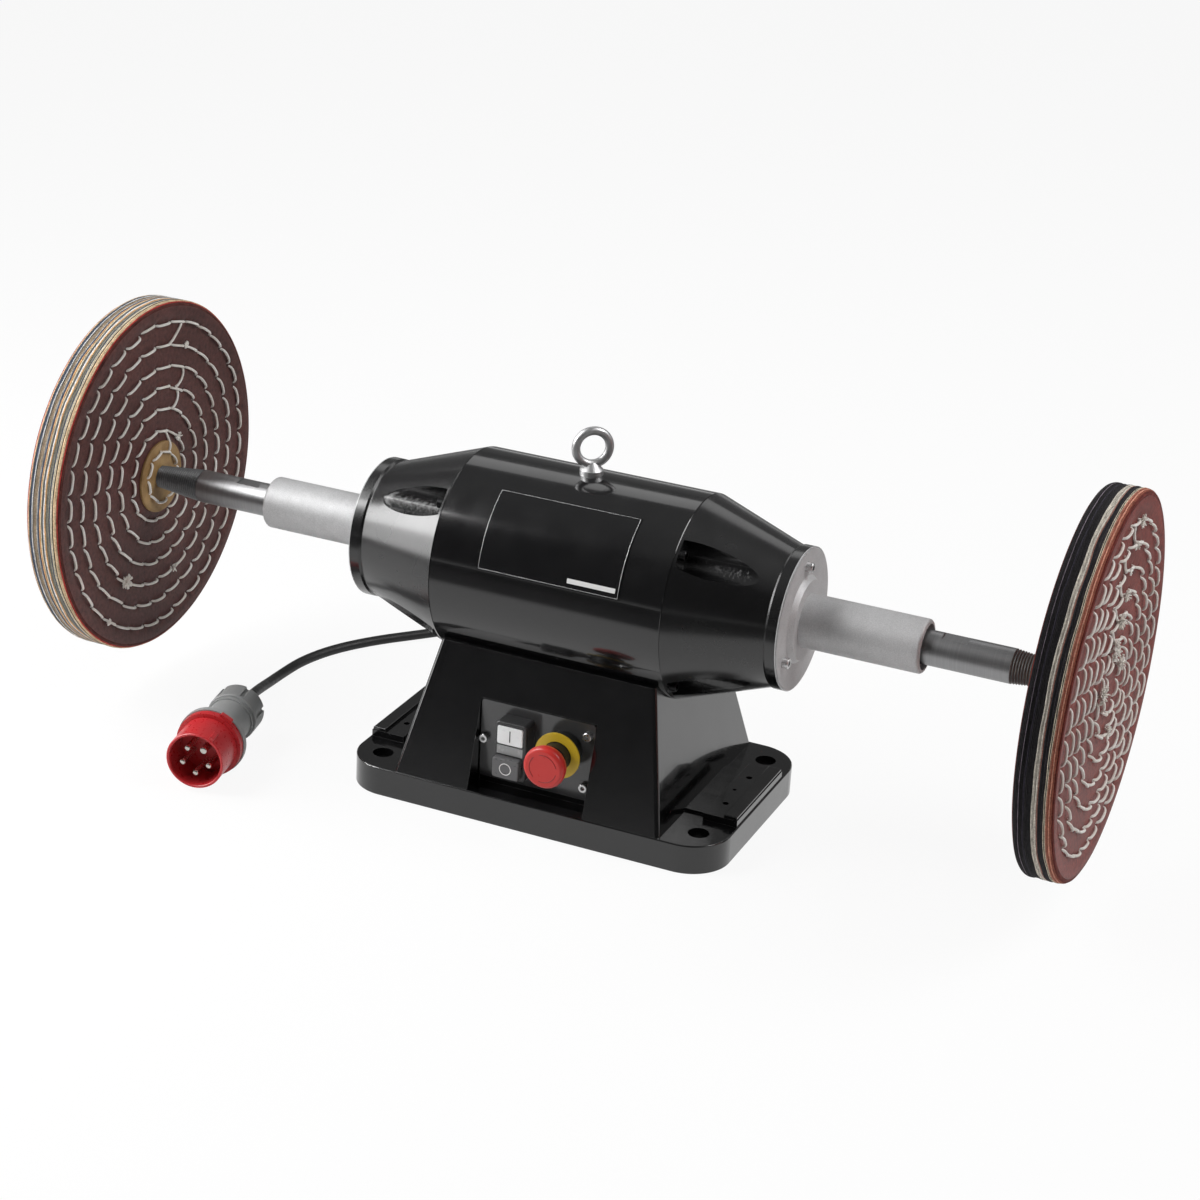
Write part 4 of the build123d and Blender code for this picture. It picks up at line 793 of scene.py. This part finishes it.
def add_stitching(side_name, face_name, face, outward, links, tufts):
    """Rings of stitches on one face of a buff, with the threads that lead from ring to ring."""
    name = f"{side_name}_{face_name}_stitches"
    dice = random.Random(name)
    has_washer = face_name == "inner"
    radii = [seam * mm for seam, count in seams[side_name]]
    runs = []

    def cloth_at(radius):
        on_washer = has_washer and radius < washer_radius
        return face + outward * (washer_thickness if on_washer else -dish(radius, has_washer))

    for seam, count in seams[side_name]:
        for step in range(count):
            start = math.tau * step / count
            loop = stitch_height * dice.uniform(*stitch_height_shares)
            reach = seam * mm + dice.uniform(-stitch_drift, stitch_drift)
            end = start + math.tau / count
            runs.append(stitch(cloth_at(seam * mm), outward, reach, start, end, loop, dice))
    for ring, start_degrees, end_degrees, bow in links:
        start, end = math.radians(start_degrees), math.radians(end_degrees)
        first, second = radii[ring], radii[ring + 1]
        run = []
        for share in link_shares:
            angle = start + (end - start) * share + math.radians(bow) * math.sin(math.pi * share)
            radius = first + (second - first) * share
            lift = outward * (link_lift if 0 < share < 1 else 0)
            run.append(spindle_point(cloth_at(radius) + lift, radius, angle))
        runs.append(run)
    curve = tube_curve(name, runs, thread_radius, roundness=2)
    curve.materials.append(materials["stitch_thread"])
    add_piece(name, curve, spindle_body)
    fibres = []
    for ring, degrees, size, count in tufts:
        level = cloth_at(radii[ring]) + outward * stitch_height
        middle = spindle_point(level, radii[ring], math.radians(degrees))
        fibres += tuft(middle, outward, size * mm, count, dice)
    fluff = tube_curve(f"{name}_knots", fibres, fibre_radius, roundness=1, fineness=3)
    fluff.materials.append(materials["stitch_thread"])
    add_piece(f"{name}_knots", fluff, spindle_body)


# Materials of every node of the frame, by the record's slots, with a few nodes of their own

materials = {
    "gloss_black": gloss_black(),
    "bell_black": bell_black(),
    "cast_black": cast_black(),
    "silver_paint": silver_paint(),
    "shaft_steel": turned_steel(),
    "bearing_steel": plated_steel("bearing_steel", (0.62, 0.62, 0.63), 0.14),
    "core_steel": core_steel(),
    "zinc_steel": plated_steel("zinc_steel", (0.76, 0.76, 0.76), 0.27),
    "eye_steel": plated_steel("eye_steel", (0.66, 0.66, 0.665), 0.4, grain=500),
    "copper_wire": copper_wire(),
    "cast_aluminium": plated_steel("cast_aluminium", (0.7, 0.7, 0.71), 0.4),
    "cage_brass": plated_steel("cage_brass", (0.7, 0.5, 0.2), 0.25),
    "buff_face": buff_face(),
    "buff_rim": buff_rim(),
    "stitch_thread": stitch_thread(),
    "leather": tan_leather(),
    "plate_grey": moulded("plate_grey", (0.045, 0.045, 0.046), 0.17, depth=0.004, Specular_IOR_Level=0.95),
    "plate_black": printed_plate(),
    "switch_black": moulded("switch_black", (0.04, 0.04, 0.041), 0.32),
    "estop_black": moulded("estop_black", (0.012, 0.012, 0.012), 0.4),
    "button_white": moulded("button_white", (0.8, 0.81, 0.81), 0.3, variety=0.04),
    "button_grey": moulded("button_grey", (0.11, 0.11, 0.113), 0.3),
    "window_grey": moulded("window_grey", (0.3, 0.305, 0.305), 0.25, Coat_Weight=0.5),
    "estop_yellow": moulded("estop_yellow", (0.62, 0.42, 0.025), 0.35, variety=0.06),
    "estop_red": moulded("estop_red", (0.55, 0.03, 0.025), 0.32, variety=0.06),
    "terminal_plastic": moulded("terminal_plastic", (0.8, 0.78, 0.7), 0.45, variety=0.05),
    "cord_rubber": cord_rubber(),
    "gland_black": moulded("gland_black", (0.016, 0.016, 0.017), 0.38),
    "plug_red": moulded("plug_red", (0.5, 0.025, 0.03), 0.3, variety=0.06),
    "plug_grey": moulded("plug_grey", (0.3, 0.305, 0.305), 0.42, variety=0.08),
    "pin_nickel": plated_steel("pin_nickel", (0.78, 0.76, 0.7), 0.2),
    "bolt_black": plated_steel("bolt_black", (0.03, 0.03, 0.031), 0.3),
    "mark_dark": moulded("mark_dark", (0.03, 0.03, 0.032), 0.4),
    "mark_white": moulded("mark_white", (0.72, 0.72, 0.71), 0.4, variety=0.03),
    "mark_silver": plated_steel("mark_silver", (0.6, 0.6, 0.6), 0.35),
    "mark_red": moulded("mark_red", (0.24, 0.008, 0.008), 0.4),
}
node_materials = {
    "base_casting": "cast_black",
    "motor_housing": "gloss_black",
    "left_end_bell": "bell_black",
    "right_end_bell": "bell_black",
    "left_bell_bolts": "bolt_black",
    "right_bell_bolts": "bolt_black",
    "eye_bolt": "eye_steel",
    "estop_body": "estop_black",
    "left_buff_wheel": "buff_face",
    "right_buff_wheel": "buff_face",
}


def dress_nodes():
    """Give every node of the frame its material."""
    slots = {part["node"]: part["material_slot"] for part in frame["record"]["subparts"]}
    for name, node in frame["nodes"].items():
        chosen = materials[node_materials.get(name, slots[name])]
        if not node.material_slots:
            node.data.materials.append(chosen)
        for slot in node.material_slots:
            slot.material = chosen


dress_nodes()
cord.data.materials.append(materials["cord_rubber"])

for side_name, side in side_signs.items():
    inner_face, outer_face = add_buff(side_name)
    add_stitching(side_name, "inner", side * inner_face, -side, inner_links, inner_tufts)
    add_stitching(side_name, "outer", side * outer_face, side, outer_links, outer_tufts)


# Marks on the buttons, the emergency stop and the rating plate

start_middle = (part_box("start_button")[0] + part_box("start_button")[1]) / 2
start_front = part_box("start_button")[0].y
stop_middle = (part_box("stop_button")[0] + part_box("stop_button")[1]) / 2
stop_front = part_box("stop_button")[0].y
cap_middle = (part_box("estop_cap")[0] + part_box("estop_cap")[1]) / 2
cap_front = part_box("estop_cap")[0].y
plate_low, plate_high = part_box("rating_plate")
plate_radius = 96.83 * mm
plate_angles = (30, 77.5)
border_inset = 1.3 * mm
border_radius = 0.3 * mm
border_sink = 0.15 * mm
# The white field: angles, length, distance from the right border, height above the plate and depth in it
field_angles = (71.6, 74.2)
field_length = 47 * mm
field_margin = 3 * mm
field_rise = 0.12 * mm
field_sink = 0.2 * mm
# Bar and ring on the switch's buttons, and arcs on the emergency stop's cap
bar_half_length = 5.6 * mm
bar_radius = 0.75 * mm
bar_sink = 0.45 * mm
ring_radius = 5.6 * mm
ring_line_radius = 0.55 * mm
ring_sink = 0.3 * mm
arc_radius = 13.4 * mm
arc_line_radius = 0.4 * mm
arc_sink = 0.1 * mm
arc_starts = (15, 135, 255)
arc_span = 92


def add_mark(name, runs, radius, body, material):
    """Raised line on a surface, as a thin tube that is mostly sunk into it."""
    curve = tube_curve(name, runs, radius, roundness=2, fineness=6)
    curve.materials.append(materials[material])
    add_piece(name, curve, body)


def front_arc(middle, depth, radius, start, end, steps):
    """Points of an arc that faces the operator, with angles in degrees."""
    points = []
    for step in range(steps + 1):
        angle = math.radians(start + (end - start) * step / steps)
        across, up = radius * math.cos(angle), radius * math.sin(angle)
        points.append(Vector((middle.x + across, depth, middle.z + up)))
    return points


def plate_point(x, degrees, lift):
    """Point on the rating plate, with the angle from the top towards the operator."""
    return spindle_point(x, plate_radius + lift, -math.radians(degrees))


def add_plate_marks():
    """Silver border of the rating plate and a blank white field; it has no lettering."""
    inset_degrees = math.degrees(border_inset / plate_radius)
    left, right = plate_low.x + border_inset, plate_high.x - border_inset
    top, bottom = plate_angles[0] + inset_degrees, plate_angles[1] - inset_degrees
    across_steps, down_steps = 4, 12
    runs = []
    for degrees in (top, bottom):
        places = [left + (right - left) * step / across_steps for step in range(across_steps + 1)]
        runs.append([plate_point(x, degrees, -border_sink) for x in places])
    for x in (left, right):
        places = [top + (bottom - top) * step / down_steps for step in range(down_steps + 1)]
        runs.append([plate_point(x, degrees, -border_sink) for degrees in places])
    add_mark("rating_plate_border", runs, border_radius, frame_body, "mark_silver")
    steps = 6
    field_right = right - field_margin
    points = []
    for step in range(steps + 1):
        degrees = field_angles[0] + (field_angles[1] - field_angles[0]) * step / steps
        for x in (field_right - field_length, field_right):
            points.append(plate_point(x, degrees, -field_sink))
            points.append(plate_point(x, degrees, field_rise))
    last = 4 * steps
    faces = [(0, 1, 3, 2), (last, last + 2, last + 3, last + 1)]
    for low in range(0, last, 4):
        for first, second in ((0, 1), (1, 3), (3, 2), (2, 0)):
            faces.append((low + first, low + second, low + 4 + second, low + 4 + first))
    field = closed_mesh("rating_plate_field", points, faces)
    field.materials.append(materials["mark_white"])
    add_piece("rating_plate_field", field, frame_body)


def add_control_marks():
    """Bar on the start button, ring on the stop button and three arcs on the emergency stop's cap."""
    rises = (-bar_half_length, 0, bar_half_length)
    bar = [Vector((start_middle.x, start_front + bar_sink, start_middle.z + rise)) for rise in rises]
    add_mark("start_bar", [bar], bar_radius, "start_button", "mark_dark")
    ring = front_arc(stop_middle, stop_front + ring_sink, ring_radius, 0, 360, 32)
    add_mark("stop_ring", [ring], ring_line_radius, "stop_button", "mark_white")
    arcs = []
    for start in arc_starts:
        arcs.append(front_arc(cap_middle, cap_front + arc_sink, arc_radius, start, start + arc_span, 12))
    add_mark("estop_arcs", arcs, arc_line_radius, "estop_cap", "mark_red")


add_control_marks()
add_plate_marks()


# Floor, light and surroundings of a plain studio

floor_half = 12
floor_grey = 0.86
floor_roughness = 0.6
floor_white_share = 0.92
backdrop_level = 0.94
# The table that mirrors show: its front and back edges along Y, and how far each one fades
table_front = -0.55
table_fade = 0.12
table_back = 0.4
back_fade = 0.3
# Brightness of the table and of the room in front of it and behind it, as mirrors show them
table_level = 0.68
room_level = 0.04
back_level = 0.15
# Levels of the world, as the sine of the elevation and the brightness there
front_levels = ((0.0, 0.5), (0.02, 0.25), (0.05, 0.05), (0.7, 0.05), (0.82, 0.16), (1.0, 0.25))
back_levels = ((0.0, 0.7), (0.03, 0.35), (0.12, 0.12), (0.7, 0.1), (0.82, 0.17), (1.0, 0.25))
# Where along Y the world goes over from its front to its back
front_end, back_start = -0.2, 0.3
# Soft boxes, as azimuth, elevation, distance, width, height and glow
soft_boxes = {
    "left_box": (-70, 18, 1.9, 1.2, 0.45, 8),
    "left_low_box": (-70, 3, 1.9, 1.2, 0.5, 3.5),
    "front_left_box": (-55, 36, 1.8, 0.7, 0.7, 10),
    "upper_left_box": (-80, 46, 2.2, 1.2, 0.7, 5),
    "back_box": (-160, 43, 2.6, 3.2, 0.8, 0.8),
    "right_box": (105, 45, 2.6, 1.4, 1.4, 6),
}


def add_floor():
    """Wide white floor that the machine stands on, with a soft shadow. Mirrors show a pale table, and
    a dark room beyond the table's front and back edges."""
    signs = ((-1, -1), (1, -1), (1, 1), (-1, 1))
    corners = [(floor_half * x, floor_half * y, 0) for x, y in signs]
    mesh = bpy.data.meshes.new("floor")
    mesh.from_pydata(corners, [], [(0, 1, 2, 3)])
    finish = Finish("floor_white", (floor_grey, floor_grey, floor_grey), floor_roughness)
    seen = finish.nodes.new("ShaderNodeLightPath")
    mirrored = finish.math("MAXIMUM", seen.outputs["Is Glossy Ray"], seen.outputs["Is Transmission Ray"])
    looked_at = finish.math("MAXIMUM", seen.outputs["Is Camera Ray"], mirrored)
    depth = finish.part_of(1)
    room_end = table_front - table_fade
    to_front = finish.spread(depth, room_level, table_level, start=room_end, end=table_front)
    table_end = table_back + back_fade
    to_back = finish.spread(depth, table_level, back_level, start=table_back, end=table_end)
    in_mirror = finish.math("MINIMUM", to_front, to_back)
    glow = finish.nodes.new("ShaderNodeEmission")
    strength = finish.math("MAXIMUM", seen.outputs["Is Camera Ray"], in_mirror)
    finish.links.new(strength, glow.inputs["Strength"])
    mixer = finish.nodes.new("ShaderNodeMixShader")
    finish.links.new(finish.math("MULTIPLY", looked_at, floor_white_share), mixer.inputs[0])
    finish.links.new(finish.shader.outputs[0], mixer.inputs[1])
    finish.links.new(glow.outputs[0], mixer.inputs[2])
    finish.links.new(mixer.outputs[0], finish.nodes["Material Output"].inputs["Surface"])
    mesh.materials.append(finish.material)
    floor = bpy.data.objects.new("floor", mesh)
    bpy.context.scene.collection.objects.link(floor)


def add_soft_box(name, azimuth, elevation, distance, width, height, glow):
    """Area lamp that faces the motor, at angles in degrees from the front to the right and up.
    Its glow is 1 where it would look white."""
    data = bpy.data.lights.new(name, "AREA")
    data.shape = "RECTANGLE"
    data.size = width
    data.size_y = height
    data.energy = glow * math.pi * width * height
    turn, rise = math.radians(azimuth), math.radians(elevation)
    level = math.cos(rise)
    away = Vector((math.sin(turn) * level, -math.cos(turn) * level, math.sin(rise)))
    lamp = bpy.data.objects.new(name, data)
    lamp.location = Vector((0, 0, spindle_height)) + distance * away
    lamp.rotation_euler = (-away).to_track_quat("-Z", "Y").to_euler()
    lamp.visible_camera = False
    bpy.context.scene.collection.objects.link(lamp)


def add_surroundings():
    """World of a studio: a pale horizon, a dark room, less dark behind, and a dim ceiling, as the
    paint mirrors them, and a plain pale backdrop to look at."""
    world = bpy.data.worlds.new("studio")
    bpy.context.scene.world = world
    world.use_nodes = True
    nodes, links = world.node_tree.nodes, world.node_tree.links
    direction = nodes.new("ShaderNodeTexCoord").outputs["Generated"]
    split = nodes.new("ShaderNodeSeparateXYZ")
    links.new(direction, split.inputs[0])
    behind = nodes.new("ShaderNodeMapRange")
    links.new(split.outputs["Y"], behind.inputs["Value"])
    behind.inputs["From Min"].default_value = front_end
    behind.inputs["From Max"].default_value = back_start
    mixer = nodes.new("ShaderNodeMix")
    mixer.data_type = "RGBA"
    links.new(behind.outputs["Result"], mixer.inputs[mix_factor])
    sockets = mixer.inputs[mix_first], mixer.inputs[mix_second]
    for stops, socket in zip((front_levels, back_levels), sockets):
        ramp = nodes.new("ShaderNodeValToRGB")
        links.new(split.outputs["Z"], ramp.inputs["Fac"])
        while len(ramp.color_ramp.elements) < len(stops):
            ramp.color_ramp.elements.new(0.5)
        for element, (height, level) in zip(ramp.color_ramp.elements, stops):
            element.position = height
            element.color = (level, level, level, 1)
        links.new(ramp.outputs["Color"], socket)
    links.new(mixer.outputs[mix_result], nodes["Background"].inputs["Color"])
    seen = nodes.new("ShaderNodeLightPath")
    looked_at = nodes.new("ShaderNodeMath")
    looked_at.operation = "MAXIMUM"
    for output, socket in zip(("Is Camera Ray", "Is Transmission Ray"), looked_at.inputs):
        links.new(seen.outputs[output], socket)
    backdrop = nodes.new("ShaderNodeBackground")
    backdrop.inputs["Color"].default_value = (backdrop_level, backdrop_level, backdrop_level, 1)
    view = nodes.new("ShaderNodeMixShader")
    links.new(looked_at.outputs[0], view.inputs[0])
    links.new(nodes["Background"].outputs[0], view.inputs[1])
    links.new(backdrop.outputs[0], view.inputs[2])
    links.new(view.outputs[0], nodes["World Output"].inputs["Surface"])


add_floor()
for name, settings in soft_boxes.items():
    add_soft_box(name, *settings)
add_surroundings()
bpy.context.scene.view_settings.view_transform = "Standard"
